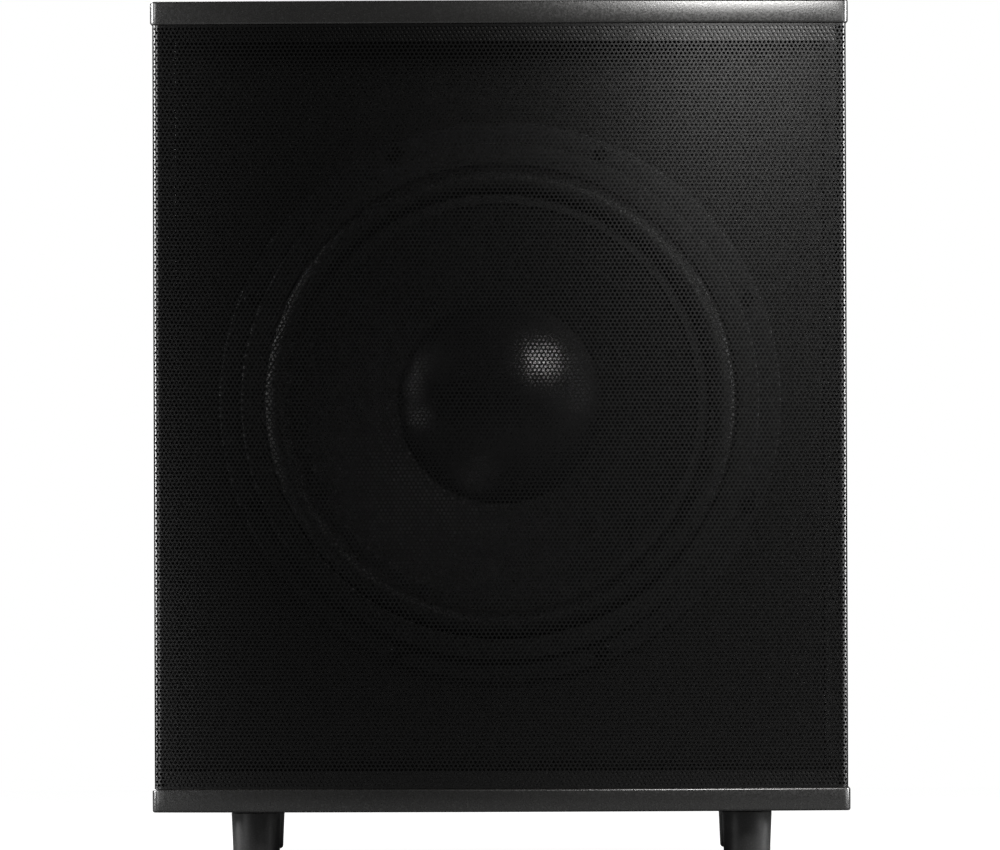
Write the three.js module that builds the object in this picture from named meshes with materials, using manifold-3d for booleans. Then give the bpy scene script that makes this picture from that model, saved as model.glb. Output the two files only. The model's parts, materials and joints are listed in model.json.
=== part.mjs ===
// Active subwoofer: sealed wooden cabinet, bowed steel grille, one large driver and a rear amplifier.
// Millimetres, +Z up, the grille faces -Y. The origin is on the floor under the middle of the cabinet.
import * as THREE from "three";
import { mergeVertices } from "three/addons/utils/BufferGeometryUtils.js";
import Module from "manifold-3d";

const wasm = await Module();
wasm.setup();

// ---- Driving dimensions ----

const seat = 0.3; // gap between two pieces that rest on each other

// Cabinet
const cabinetWidth = 479; // across the outer faces of the side panels
const cabinetDepth = 500; // front middle of the top panel to its back edge
const cabinetHeight = 560; // underside of the bottom panel to the top of the top panel
const plateThickness = 16; // top and bottom panels
const plateOverhang = 1.5; // how far they stand out past the sides and the grille
const plateCorner = 6; // radius of their upright corners
const plateRoundover = 1.5; // radius along their edges
const wallThickness = 16; // sides and rear panel
const rearLip = 20; // how far the top and bottom panels run past the rear panel
const baffleThickness = 22;
const baffleInset = 3; // baffle front behind the front edges of the sides
const braceThickness = 16;
const braceBar = 34; // width of the brace's bars
const waddingThickness = 25;
const waddingMargin = 14; // from the wadding to the panels around it

// Grille
const bowRadius = 821; // outside of the grille, seen from above
const grilleThickness = 1.2;
const grilleFlange = 22; // depth of the folded sides
const grilleBend = 3.5; // outside radius of the fold
const railHeight = 11.5;
const railDepth = 14;

// Feet
const footHeight = 30;
const footTopRadius = 17.2;
const footBottomRadius = 16;
const footEdge = 2.5; // radius of the bottom edge
const footSpacingX = 339;
const footSpacingY = 380;
const footBoreRadius = 6.5; // recess for the screw head
const footBoreDepth = 16;
const footScrewRadius = 2;
const footScrewGrip = 12; // thread in the bottom panel
const footScrewHead = 5; // radius
const footScrewHeadHeight = 3.5;

// Woofer, from the cone outwards; its axis runs front to back
const wooferLift = 3; // centre above the middle of the cabinet
const coneRadius = 144;
const coneDepth = 70;
const coneWall = 1.2;
const coneLip = 7; // flat rim that the surround is glued to
const rollWidth = 20;
const surroundWall = 1;
const landWidth = 15; // ring under the gasket
const boltLand = 15; // ring outside it, with the bolts
const frameThickness = 7;
const frameSkirt = 12; // straight wall behind the frame's rim
const gasketThickness = 5;
const flangeLap = 16.5; // frame that rests on the baffle
const cutoutClearance = 2.5;
const capRadius = 70;
const capHeight = 20;
const capWall = 1;
const coilRadius = 38.4; // outside of the former
const formerWall = 0.8;
const windingThickness = 1.2;
const windingHeight = 22;
const airGap = 1; // on each side of the moving coil
const spiderRadius = 87;
const spiderWall = 0.8;
const spiderWave = 2.5; // height of a corrugation
const spiderWaves = 2;
const shelfWidth = 11; // ring that the spider is glued to
const spiderDrop = 14; // from the cone's neck back to the spider's shelf
const hubDepth = 16; // from that shelf to the back of the frame
const hubFloor = 6;
const hubWall = 7; // frame outside the spider
const polePlateThickness = 10;
const polePlateRadius = 84;
const magnetRadius = 90;
const magnetGap = 5.1; // magnet's bore around the winding
const magnetThickness = 25;
const backPlateThickness = 12;
const ventRadius = 9;
const windowCount = 6; // openings between the frame's legs
const windowAngle = 40; // degrees
const windowMargin = 6; // from a window to the hub and to the rim
const wooferBolts = 8;
const boltRadius = 2.5;
const boltHeadRadius = 4.4;
const boltHeadHeight = 4.5;
const boltTail = 3; // bolt behind the baffle
const terminalWidth = 28;
const terminalHeight = 12;
const leadRadius = 2.5;
const leadSag = 12;
const glandClearance = 1; // around the lead where it enters the chamber

// Amplifier; its own origin is the middle of its plate
const ampLift = 200; // middle of the plate above the underside of the cabinet
const ampWidth = 300;
const ampHeight = 250;
const ampThickness = 3;
const ampLap = 15; // plate over the edge of the cut-out
const chamberWall = 4;
const chamberDepth = 84;
const chamberLap = 10; // chamber flange past the cut-out
const heatsinkWidth = 128;
const heatsinkHeight = 210;
const heatsinkBase = 4;
const heatsinkDepth = 14;
const finCount = 13;
const finThickness = 2.4;
const heatsinkX = -74;
const boardStandoff = 32;
const boardWidth = 118;
const boardHeight = 90;
const boardThickness = 2;
const standoffRadius = 3;
const standoffInset = 8;
const capacitorRadius = 11;
const capacitorHeight = 26;
const capacitorX = 26; // each side of the board's middle
const capacitorInset = 30; // below the board's top edge
const transformerRadius = 42;
const transformerBore = 14;
const transformerHeight = 34;
const transformerEdge = 6; // radius of its outer edges
const transformerZ = -52;
const clampRadius = 3;
const clampHead = 5; // radius of the bolt's head
const clampHeadHeight = 4;
const clampWasher = 24; // radius
const clampWasherThickness = 2;
const controlNearX = 40;
const controlFarX = 98;
const knobZ = 85;
const signalZ = 32;
const mainsZ = -72;
const knobRadius = 10;
const knobHeight = 12;
const knobBore = 8;
const knobTaper = 0.8;
const knobEdge = 1.2;
const pointerWidth = 1.4;
const pointerHeight = 0.8;
const knobClearance = 0.8; // knob above the plate
const shaftRadius = 3;
const shaftClearance = 0.35;
const bushingRadius = 4.6;
const potSize = 17;
const potDepth = 9;
const phaseTravel = 4;
const phaseTab = 4;
const phaseTabHeight = 3.2;
const phaseTabReach = 3.5; // tab past the plate
const phaseBodyLength = 20;
const phaseBodyDepth = 8;
const slideClearance = 0.4;
const jackSpacing = 24;
const jackRadius = 4.2;
const jackReach = 9;
const jackBore = 1.7;
const jackBlockDepth = 12;
const jackBlockHeight = 14;
const inletWidth = 24.4; // socket for the mains connector
const inletHeight = 16.8;
const inletChamfer = 4.5;
const inletDepth = 17;
const inletWall = 2;
const inletBezel = 4; // rim around the body
const inletBezelThickness = 2.5;
const pinLength = 12;
const pinWidth = 2;
const pinHeight = 4;
const pinSpacing = 14;
const pinOffset = 2; // live and neutral below the middle, earth above it
const rockerRadius = 11.5; // pivot to the rocker's ends
const rockerWidth = 17;
const rockerTilt = 7; // degrees each way
const rockerDish = 4.2; // middle of the rocker above its pivot
const rockerPivotDepth = 1; // pivot behind the bezel's front
const rockerWall = 1.8;
const rockerBezel = 3;
const rockerBezelThickness = 2.5;
const rockerCup = 9; // depth of the cup behind the pivot
const rockerSkirt = 25; // degrees that its round ends run behind the pivot
const rockerRise = 35; // degrees that they run in front of it
const ledRadius = 2.5;
const ledDepth = 8;
const ledReach = 2;

// Smoothness
const woofSteps = 32; // sides of the woofer's rings
const footSteps = 20;
const smallSteps = 14;
const screwSteps = 8;
const bowSteps = 20;
const cornerSteps = 3;
const rollSteps = 5;
const domeSteps = 4;
const leadSteps = 24;

// ---- Places worked out from the sizes ----

const cabinetBase = footHeight;
const cabinetTop = footHeight + cabinetHeight;
const insideBottom = cabinetBase + plateThickness + seat;
const insideTop = cabinetTop - plateThickness - seat;
const halfWidth = cabinetWidth / 2;
const insideHalf = halfWidth - wallThickness - seat;
const plateFront = -cabinetDepth / 2;
const plateBack = cabinetDepth / 2;
const grilleFront = plateFront + plateOverhang;
const bowCentre = grilleFront + bowRadius;
const grilleEdge = bowCentre - Math.sqrt(bowRadius ** 2 - halfWidth ** 2);
const flangeEnd = grilleEdge + grilleFlange;
const sideFront = flangeEnd + seat;
const baffleFront = sideFront + baffleInset;
const baffleBack = baffleFront + baffleThickness;
const rearOutside = plateBack - rearLip;
const rearInside = rearOutside - wallThickness;

const wooferZ = cabinetBase + cabinetHeight / 2 + wooferLift;
const rollOuter = coneRadius + rollWidth;
const gasketOuter = rollOuter + landWidth;
const frameRadius = gasketOuter + boltLand;
const boltCircle = gasketOuter + boltLand / 2;
const frameInner = rollOuter + 2;
const cutoutRadius = frameRadius - flangeLap;
const frameBody = cutoutRadius - cutoutClearance;
const frameBack = baffleFront - seat;
const frameFront = frameBack - frameThickness;
const surroundBack = frameFront - seat;
const surroundFace = surroundBack - surroundWall;
const gasketBack = surroundFace - seat;
const coneRim = surroundBack + seat;
const coneEdge = coneRadius - coneLip;
const neckRadius = coilRadius + seat;
const coneNeck = coneRim + coneDepth;
const shelf = coneNeck + spiderDrop;
const hubBack = shelf + hubDepth;
const hubRadius = spiderRadius + hubWall;
const polePlateFront = hubBack + seat;
const polePlateBack = polePlateFront + polePlateThickness;
const magnetFront = polePlateBack + seat;
const magnetBack = magnetFront + magnetThickness;
const backPlateFront = magnetBack + seat;
const backPlateBack = backPlateFront + backPlateThickness;
const windingMiddle = (polePlateFront + polePlateBack) / 2;
const windingInner = coilRadius + seat;
const windingOuter = windingInner + windingThickness;
const magnetBore = windingOuter + magnetGap;
const formerEnd = windingMiddle + windingHeight / 2 + seat;
const terminalTop = -hubRadius - seat;
const braceMiddle = (magnetFront + magnetBack) / 2;
const leadZ = wooferZ + terminalTop - terminalHeight / 2;

const ampZ = cabinetBase + ampLift;
const ampInside = rearOutside + seat;
const ampOutside = ampInside + ampThickness;
const ampFace = ampOutside + seat; // backs of what is fixed to the outside of the plate
const boardFace = ampInside - boardStandoff;
const chamberFront = rearInside - seat - chamberDepth;
const cutoutWidth = ampWidth - 2 * ampLap;
const cutoutHeight = ampHeight - 2 * ampLap;

// ---- Finishes ----

function finish(color, roughness, metalness) {
  return new THREE.MeshStandardMaterial({ color, roughness, metalness });
}

const blackPaint = () => finish(0x1b1b1b, 0.55, 0);
const rawBoard = () => finish(0x9a7d58, 0.85, 0);
const grilleSteel = () => finish(0x161616, 0.45, 0.4);
const castMetal = () => finish(0x202123, 0.5, 0.6);
const blackRubber = () => finish(0x141414, 0.8, 0);
const conePulp = () => finish(0x1c1c1d, 0.75, 0);
const glossCap = () => finish(0x161617, 0.3, 0);
const kaptonBrown = () => finish(0x6e4a23, 0.5, 0);
const copperWire = () => finish(0xa45f2e, 0.4, 0.9);
const spiderCloth = () => finish(0x8a6a32, 0.9, 0);
const zincSteel = () => finish(0xa9abad, 0.35, 0.9);
const ferrite = () => finish(0x2b2b2d, 0.7, 0.1);
const blackSteel = () => finish(0x121212, 0.4, 0.7);
const greyWadding = () => finish(0x8c8c88, 1, 0);
const blackAluminium = () => finish(0x17181a, 0.5, 0.7);
const blackPlastic = () => finish(0x131313, 0.45, 0);
const greenBoard = () => finish(0x1c4a2c, 0.6, 0);
const nickel = () => finish(0xc9c3b4, 0.25, 1);
const redPlastic = () => finish(0x7d1715, 0.4, 0);
const blueLens = () => finish(0x4a78c8, 0.2, 0);

// ---- Shape helpers ----

const point = (x, y) => new THREE.Vector2(x, y);

// Points along an arc; angles in degrees, counterclockwise from +X.
function arc(cx, cy, radius, from, to, steps) {
  const points = [];
  for (let i = 0; i <= steps; i++) {
    const angle = THREE.MathUtils.degToRad(from + ((to - from) * i) / steps);
    points.push(point(cx + radius * Math.cos(angle), cy + radius * Math.sin(angle)));
  }
  return points;
}

// Box between two corners.
function block(x0, x1, y0, y1, z0, z1) {
  const box = new THREE.BoxGeometry(x1 - x0, y1 - y0, z1 - z0);
  return box.translate((x0 + x1) / 2, (y0 + y1) / 2, (z0 + z1) / 2);
}

// Block centred on a point of the X-Z plane, between two depths.
function post(x, z, width, height, y0, y1) {
  return block(x - width / 2, x + width / 2, y0, y1, z - height / 2, z + height / 2);
}

// Solid of revolution about the Y axis from a closed outline of (radius, y) points.
function turned(outline, steps) {
  const points = THREE.ShapeUtils.isClockWise(outline) ? [...outline].reverse() : outline;
  return new THREE.LatheGeometry([...points, points[0].clone()], steps);
}

// Round bar on the Y axis; with an inner radius it is a tube.
function rod(radius, y0, y1, steps, inner = 0) {
  return turned([point(inner, y0), point(radius, y0), point(radius, y1), point(inner, y1)], steps);
}

function upright(outline, z0, z1) {
  const shape = new THREE.Shape(outline);
  const slab = new THREE.ExtrudeGeometry(shape, { depth: z1 - z0, bevelEnabled: false });
  return slab.translate(0, 0, z0);
}

// Outline in the X-Z plane carried from depth y0 to y1.
function carried(outline, y0, y1) {
  const shape = new THREE.Shape(outline);
  const slab = new THREE.ExtrudeGeometry(shape, { depth: y1 - y0, bevelEnabled: false });
  return slab.rotateX(Math.PI / 2).translate(0, y1, 0);
}

function solid(geometry) {
  const bare = geometry.clone().deleteAttribute("normal").deleteAttribute("uv");
  const merged = mergeVertices(bare, 1e-3);
  return new wasm.Manifold(
    new wasm.Mesh({
      numProp: 3,
      vertProperties: merged.attributes.position.array,
      triVerts: new Uint32Array(merged.index.array),
    }),
  );
}

function surface(manifold) {
  const mesh = manifold.getMesh();
  const geometry = new THREE.BufferGeometry();
  geometry.setAttribute("position", new THREE.BufferAttribute(mesh.vertProperties, 3));
  geometry.setIndex(new THREE.BufferAttribute(mesh.triVerts, 1));
  geometry.computeVertexNormals();
  return geometry;
}

function cut(geometry, ...tools) {
  return surface(tools.reduce((body, tool) => body.subtract(solid(tool)), solid(geometry)));
}

function joined(geometry, ...others) {
  return surface(others.reduce((body, other) => body.add(solid(other)), solid(geometry)));
}

function node(name, geometry, material) {
  const mesh = new THREE.Mesh(geometry, material);
  mesh.name = name;
  return mesh;
}

// Angles of a ring of equal places, in degrees.
const ringAngles = (count, first) => Array.from({ length: count }, (_, i) => first + (360 * i) / count);

// ---- Cabinet ----

// Plan of a top or bottom panel: bowed front, round corners, straight back.
function plateOutline() {
  const half = halfWidth + plateOverhang;
  const radius = bowRadius + plateOverhang;
  const cornerX = half - plateCorner;
  const reach = radius - plateCorner;
  const cornerY = bowCentre - Math.sqrt(reach ** 2 - cornerX ** 2);
  const lean = THREE.MathUtils.radToDeg(Math.asin(cornerX / reach));
  const backY = plateBack - plateCorner;
  return [
    ...arc(0, bowCentre, radius, 270 - lean, 270 + lean, bowSteps),
    ...arc(cornerX, cornerY, plateCorner, 270 + lean, 360, cornerSteps).slice(1),
    ...arc(cornerX, backY, plateCorner, 0, 90, cornerSteps),
    ...arc(-cornerX, backY, plateCorner, 90, 180, cornerSteps),
    ...arc(-cornerX, cornerY, plateCorner, 180, 270 - lean, cornerSteps).slice(0, -1),
  ];
}

function plate(z0) {
  const slab = new THREE.ExtrudeGeometry(new THREE.Shape(plateOutline()), {
    depth: plateThickness - 2 * plateRoundover,
    bevelThickness: plateRoundover,
    bevelSize: plateRoundover,
    bevelOffset: -plateRoundover,
    bevelSegments: 1,
  });
  return slab.translate(0, 0, z0 + plateRoundover);
}

function footPlaces() {
  return [
    ["front_left", -footSpacingX / 2, -footSpacingY / 2],
    ["front_right", footSpacingX / 2, -footSpacingY / 2],
    ["rear_left", -footSpacingX / 2, footSpacingY / 2],
    ["rear_right", footSpacingX / 2, footSpacingY / 2],
  ];
}

function bottomPanel() {
  const pilotTop = cabinetBase + footScrewGrip + seat;
  const pilots = footPlaces().map(([, x, y]) => {
    const hole = rod(footScrewRadius + seat, cabinetBase - 1, pilotTop, screwSteps);
    return hole.rotateX(Math.PI / 2).translate(x, y, 0);
  });
  return cut(plate(cabinetBase), ...pilots);
}

function sidePanel(side) {
  const outer = side * halfWidth;
  const inner = side * (halfWidth - wallThickness);
  const [x0, x1] = [Math.min(inner, outer), Math.max(inner, outer)];
  return block(x0, x1, sideFront, rearOutside, insideBottom, insideTop);
}

function frontBaffle() {
  const panel = block(-insideHalf, insideHalf, baffleFront, baffleBack, insideBottom, insideTop);
  const hole = rod(cutoutRadius, baffleFront - 1, baffleBack + 1, woofSteps).translate(0, 0, wooferZ);
  const bolts = boltHoles(baffleFront, baffleBack).map((bolt) => bolt.translate(0, 0, wooferZ));
  return cut(panel, hole, ...bolts);
}

function rearPanel() {
  const panel = block(-insideHalf, insideHalf, rearInside, rearOutside, insideBottom, insideTop);
  return cut(panel, post(0, ampZ, cutoutWidth, cutoutHeight, rearInside - 1, rearOutside + 1));
}

// Board across the cabinet with a round hole for the magnet and a window above and below it.
function windowBrace() {
  const y0 = braceMiddle - braceThickness / 2;
  const y1 = braceMiddle + braceThickness / 2;
  const board = block(-insideHalf, insideHalf, y0, y1, insideBottom, insideTop);
  const magnetHole = magnetRadius + braceBar;
  const hole = rod(magnetHole, y0 - 1, y1 + 1, woofSteps).translate(0, 0, wooferZ);
  const half = insideHalf - braceBar;
  const window = (z0, z1) => block(-half, half, y0 - 1, y1 + 1, z0, z1);
  const upper = window(wooferZ + magnetHole + braceBar, insideTop - braceBar);
  const lower = window(insideBottom + braceBar, wooferZ - magnetHole - braceBar);
  return cut(board, hole, upper, lower);
}

// Soft pad on the inside of a side panel, behind the brace.
function wadding(side) {
  const y0 = braceMiddle + braceThickness / 2 + waddingMargin;
  const y1 = rearInside - waddingMargin;
  const middle = side * (insideHalf - waddingThickness / 2);
  const height = insideTop - insideBottom - 2 * waddingMargin;
  return post(middle, (insideBottom + insideTop) / 2, waddingThickness, height, y0, y1);
}

function cabinet() {
  const group = new THREE.Group();
  group.add(node("top_panel", plate(cabinetTop - plateThickness), blackPaint()));
  group.add(node("bottom_panel", bottomPanel(), blackPaint()));
  group.add(node("left_side_panel", sidePanel(-1), blackPaint()));
  group.add(node("right_side_panel", sidePanel(1), blackPaint()));
  group.add(node("front_baffle", frontBaffle(), blackPaint()));
  group.add(node("rear_panel", rearPanel(), blackPaint()));
  group.add(node("window_brace", windowBrace(), rawBoard()));
  group.add(node("wadding_left", wadding(-1), greyWadding()));
  group.add(node("wadding_right", wadding(1), greyWadding()));
  return group;
}

// ---- Grille ----

// Plan of one face of the folded sheet, from the left flange round the bow to the right flange.
function grilleFace(inset) {
  const radius = bowRadius - inset;
  const bend = grilleBend - inset;
  const bendX = halfWidth - grilleBend;
  const reach = bowRadius - grilleBend;
  const bendY = bowCentre - Math.sqrt(reach ** 2 - bendX ** 2);
  const lean = THREE.MathUtils.radToDeg(Math.asin(bendX / reach));
  return [
    point(-halfWidth + inset, flangeEnd),
    ...arc(-bendX, bendY, bend, 180, 270 - lean, cornerSteps),
    ...arc(0, bowCentre, radius, 270 - lean, 270 + lean, bowSteps).slice(1, -1),
    ...arc(bendX, bendY, bend, 270 + lean, 360, cornerSteps),
    point(halfWidth - inset, flangeEnd),
  ];
}

function grilleSheet() {
  const outline = [...grilleFace(0), ...grilleFace(grilleThickness).reverse()];
  return upright(outline, insideBottom, insideTop);
}

// Curved batten that backs the sheet along its top or bottom edge.
function grilleRail(z0) {
  const front = bowRadius - grilleThickness - seat;
  const half = halfWidth - 2 * grilleBend;
  const lean = THREE.MathUtils.radToDeg(Math.asin(half / bowRadius));
  const outline = [
    ...arc(0, bowCentre, front, 270 - lean, 270 + lean, bowSteps),
    ...arc(0, bowCentre, front - railDepth, 270 + lean, 270 - lean, bowSteps),
  ];
  return upright(outline, z0, z0 + railHeight);
}

function grille() {
  const group = new THREE.Group();
  group.add(node("grille_sheet", grilleSheet(), grilleSteel()));
  group.add(node("upper_grille_rail", grilleRail(insideTop - railHeight), blackPaint()));
  group.add(node("lower_grille_rail", grilleRail(insideBottom), blackPaint()));
  return group;
}

// ---- Woofer ----

function onBoltCircle(geometry, angle) {
  const turn = THREE.MathUtils.degToRad(angle);
  return geometry.translate(boltCircle * Math.cos(turn), 0, boltCircle * Math.sin(turn));
}

const boltAngles = () => ringAngles(wooferBolts, 180 / wooferBolts);

// Round cutters for the woofer's bolts through a piece that lies between two depths.
function boltHoles(y0, y1) {
  const hole = () => rod(boltRadius + seat, y0 - 1, y1 + 1, screwSteps);
  return boltAngles().map((angle) => onBoltCircle(hole(), angle));
}

// Sector between two radii, carried front to back through the frame's wall.
function legWindow(middle) {
  const inner = hubRadius + windowMargin;
  const outer = frameInner - windowMargin;
  const half = windowAngle / 2;
  const outline = [
    ...arc(0, 0, outer, middle - half, middle + half, cornerSteps),
    ...arc(0, 0, inner, middle + half, middle - half, cornerSteps),
  ];
  return carried(outline, frameBack + frameSkirt - 3, shelf + 5);
}

function basket() {
  const ring = turned(
    [
      point(frameRadius, frameFront),
      point(frameRadius, frameBack),
      point(frameBody, frameBack),
      point(frameBody, frameBack + frameSkirt),
      point(hubRadius, shelf + 5),
      point(hubRadius, hubBack),
      point(magnetBore, hubBack),
      point(magnetBore, hubBack - hubFloor),
      point(spiderRadius - shelfWidth, hubBack - hubFloor),
      point(spiderRadius - shelfWidth, shelf),
      point(spiderRadius + 2, shelf),
      point(frameInner, frameBack + frameSkirt - 4),
      point(frameInner, frameFront),
    ],
    woofSteps,
  );
  const windows = ringAngles(windowCount, 180 / windowCount).map(legWindow);
  return cut(ring, ...windows, ...boltHoles(frameFront, frameBack));
}

function surround() {
  const middle = coneRadius + rollWidth / 2;
  const outside = arc(middle, surroundFace, rollWidth / 2, 180, 360, rollSteps);
  const inside = arc(middle, surroundFace, rollWidth / 2 - surroundWall, 360, 180, rollSteps);
  return turned(
    [
      point(coneEdge, surroundFace),
      ...outside,
      point(gasketOuter - 1, surroundFace),
      point(gasketOuter - 1, surroundBack),
      point(rollOuter - surroundWall, surroundBack),
      ...inside,
      point(coneRadius + surroundWall, surroundBack),
      point(coneEdge, surroundBack),
    ],
    woofSteps,
  );
}

// Depth of the cone's front face at a radius.
function coneFace(radius) {
  return coneRim + (coneDepth * (coneEdge - radius)) / (coneEdge - neckRadius);
}

function cone() {
  const wall = coneWall / Math.cos(Math.atan(coneDepth / (coneEdge - neckRadius)));
  return turned(
    [
      point(neckRadius, coneNeck),
      point(neckRadius, coneNeck + wall),
      point(coneEdge, coneRim + wall),
      point(coneRadius - 0.5, coneRim + coneWall),
      point(coneRadius - 0.5, coneRim),
      point(coneEdge, coneRim),
    ],
    woofSteps,
  );
}

// Domed shell that closes the cone's neck.
function dustCap() {
  const rim = coneFace(capRadius) - seat - capWall;
  const dome = (capRadius ** 2 + capHeight ** 2) / (2 * capHeight);
  const middle = rim - capHeight + dome;
  const spread = THREE.MathUtils.radToDeg(Math.asin(capRadius / dome));
  const outside = arc(0, middle, dome, 270, 270 + spread, domeSteps);
  const inside = arc(0, middle + capWall, dome, 270 + spread, 270, domeSteps);
  outside[0].x = 0;
  inside.at(-1).x = 0;
  return turned([...outside, ...inside], woofSteps);
}

// Corrugated disc that centres the coil.
function spider() {
  const start = neckRadius + 4;
  const end = spiderRadius - 8;
  const steps = spiderWaves * 2;
  const face = shelf - seat - spiderWall;
  const wave = Array.from({ length: steps + 1 }, (_, i) => {
    const height = i % 2 ? spiderWave : 0;
    return point(start + ((end - start) * i) / steps, face - height);
  });
  const back = wave.map((p) => point(p.x, p.y + spiderWall)).reverse();
  return turned(
    [
      point(neckRadius, face),
      ...wave,
      point(spiderRadius, face),
      point(spiderRadius, face + spiderWall),
      ...back,
      point(neckRadius, face + spiderWall),
    ],
    woofSteps,
  );
}

// Back plate with the centre pole and its vent in one forging.
function backPolePlate() {
  const pole = coilRadius - formerWall - airGap;
  return turned(
    [
      point(ventRadius, polePlateFront),
      point(pole, polePlateFront),
      point(pole, backPlateFront),
      point(polePlateRadius, backPlateFront),
      point(polePlateRadius, backPlateBack),
      point(ventRadius, backPlateBack),
    ],
    woofSteps,
  );
}

function wooferBolt(angle) {
  const head = frameFront - seat;
  const bolt = turned(
    [
      point(0, head - boltHeadHeight),
      point(boltHeadRadius, head - boltHeadHeight),
      point(boltHeadRadius, head),
      point(boltRadius, head),
      point(boltRadius, baffleBack + boltTail),
      point(0, baffleBack + boltTail),
    ],
    screwSteps,
  );
  return onBoltCircle(bolt, angle);
}

function terminalBlock() {
  const middle = terminalTop - terminalHeight / 2;
  return post(0, middle, terminalWidth, terminalHeight, shelf + 6, hubBack);
}

function woofer() {
  const group = new THREE.Group();
  const former = rod(coilRadius, coneNeck - 3, formerEnd, woofSteps, coilRadius - formerWall);
  const windingFront = windingMiddle - windingHeight / 2;
  const winding = rod(windingOuter, windingFront, windingFront + windingHeight, woofSteps, windingInner);
  const polePlate = rod(polePlateRadius, polePlateFront, polePlateBack, woofSteps, windingOuter + airGap);
  const magnet = rod(magnetRadius, magnetFront, magnetBack, woofSteps, magnetBore);
  const gasket = rod(gasketOuter, gasketBack - gasketThickness, gasketBack, woofSteps, rollOuter);
  group.add(node("basket", basket(), castMetal()));
  group.add(node("woofer_gasket", gasket, blackRubber()));
  group.add(node("surround", surround(), blackRubber()));
  group.add(node("cone", cone(), conePulp()));
  group.add(node("dust_cap", dustCap(), glossCap()));
  group.add(node("coil_former", former, kaptonBrown()));
  group.add(node("coil_winding", winding, copperWire()));
  group.add(node("spider", spider(), spiderCloth()));
  group.add(node("front_pole_plate", polePlate, zincSteel()));
  group.add(node("magnet_ring", magnet, ferrite()));
  group.add(node("back_pole_plate", backPolePlate(), zincSteel()));
  group.add(node("terminal_block", terminalBlock(), blackPlastic()));
  boltAngles().forEach((angle, i) => {
    group.add(node(`woofer_bolt_${i + 1}`, wooferBolt(angle), blackSteel()));
  });
  group.position.z = wooferZ;
  return group;
}

// Cable from the woofer's terminals through the chamber wall to the amplifier board.
function wooferLead() {
  const start = hubBack + seat;
  const wall = chamberFront;
  const boardBottom = ampZ + boardEdge();
  const route = new THREE.CatmullRomCurve3([
    new THREE.Vector3(0, start, leadZ),
    new THREE.Vector3(0, start + 14, leadZ),
    new THREE.Vector3(0, (start + wall) / 2, leadZ - leadSag),
    new THREE.Vector3(0, wall - 14, leadZ),
    new THREE.Vector3(0, wall, leadZ),
    new THREE.Vector3(0, wall + 14, leadZ),
    new THREE.Vector3(-heatsinkWidth / 5, wall + 28, (leadZ + boardBottom) / 2 + 5),
    new THREE.Vector3(heatsinkX / 2, boardFace - boardThickness - 14, boardBottom + 16),
    new THREE.Vector3(heatsinkX / 2, boardFace - boardThickness - seat, boardBottom + 16),
  ]);
  const section = new THREE.Shape(arc(0, 0, leadRadius, 0, 315, 7));
  return new THREE.ExtrudeGeometry(section, { steps: leadSteps, extrudePath: route, bevelEnabled: false });
}

// ---- Amplifier ----

// Lower edge of the amplifier board above the middle of the plate.
function boardEdge() {
  return transformerZ + transformerRadius + 12;
}

// Closed box behind the rear panel that keeps the amplifier out of the woofer's air.
function rearChamber() {
  const width = cutoutWidth + 2 * chamberLap;
  const height = cutoutHeight + 2 * chamberLap;
  const back = rearInside - seat;
  const floor = chamberFront + chamberWall;
  const shell = post(0, 0, width, height, chamberFront, back);
  const hollow = post(0, 0, width - 2 * chamberWall, height - 2 * chamberWall, floor, back + 1);
  const gland = rod(leadRadius + glandClearance, chamberFront - 1, floor + 1, smallSteps);
  return cut(shell, hollow, gland.translate(0, 0, leadZ - ampZ));
}

function ampPlate() {
  const through = [ampInside - 1, ampOutside + 1];
  const round = (x, z, radius) => rod(radius, ...through, smallSteps).translate(x, 0, z);
  return cut(
    post(0, 0, ampWidth, ampHeight, ampInside, ampOutside),
    round(controlNearX, knobZ, bushingRadius + seat),
    round(controlFarX, knobZ, bushingRadius + seat),
    round((controlNearX + controlFarX) / 2, knobZ, ledRadius + seat),
    round(controlFarX - jackSpacing / 2, signalZ, jackRadius + seat),
    round(controlFarX + jackSpacing / 2, signalZ, jackRadius + seat),
    round(heatsinkX, transformerZ, clampRadius + seat),
    post(controlNearX, signalZ, phaseSlot(), phaseTabHeight + 2 * slideClearance, ...through),
    post(controlFarX, mainsZ, inletBody().width + 2 * seat, inletBody().height + 2 * seat, ...through),
    post(controlNearX, mainsZ, rockerBody().width + 2 * seat, rockerBody().height + 2 * seat, ...through),
  );
}

function heatsink() {
  const left = heatsinkX - heatsinkWidth / 2;
  const pitch = (heatsinkWidth - finThickness) / (finCount - 1);
  const tips = ampFace + heatsinkDepth;
  const roots = ampFace + heatsinkBase;
  const outline = [point(left, ampFace)];
  for (let i = 0; i < finCount; i++) {
    const x = left + i * pitch;
    outline.push(point(x, tips), point(x + finThickness, tips));
    if (i < finCount - 1) outline.push(point(x + finThickness, roots), point(x + pitch, roots));
  }
  outline.push(point(left + heatsinkWidth, ampFace));
  return upright(outline.reverse(), -heatsinkHeight / 2, heatsinkHeight / 2);
}

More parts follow.
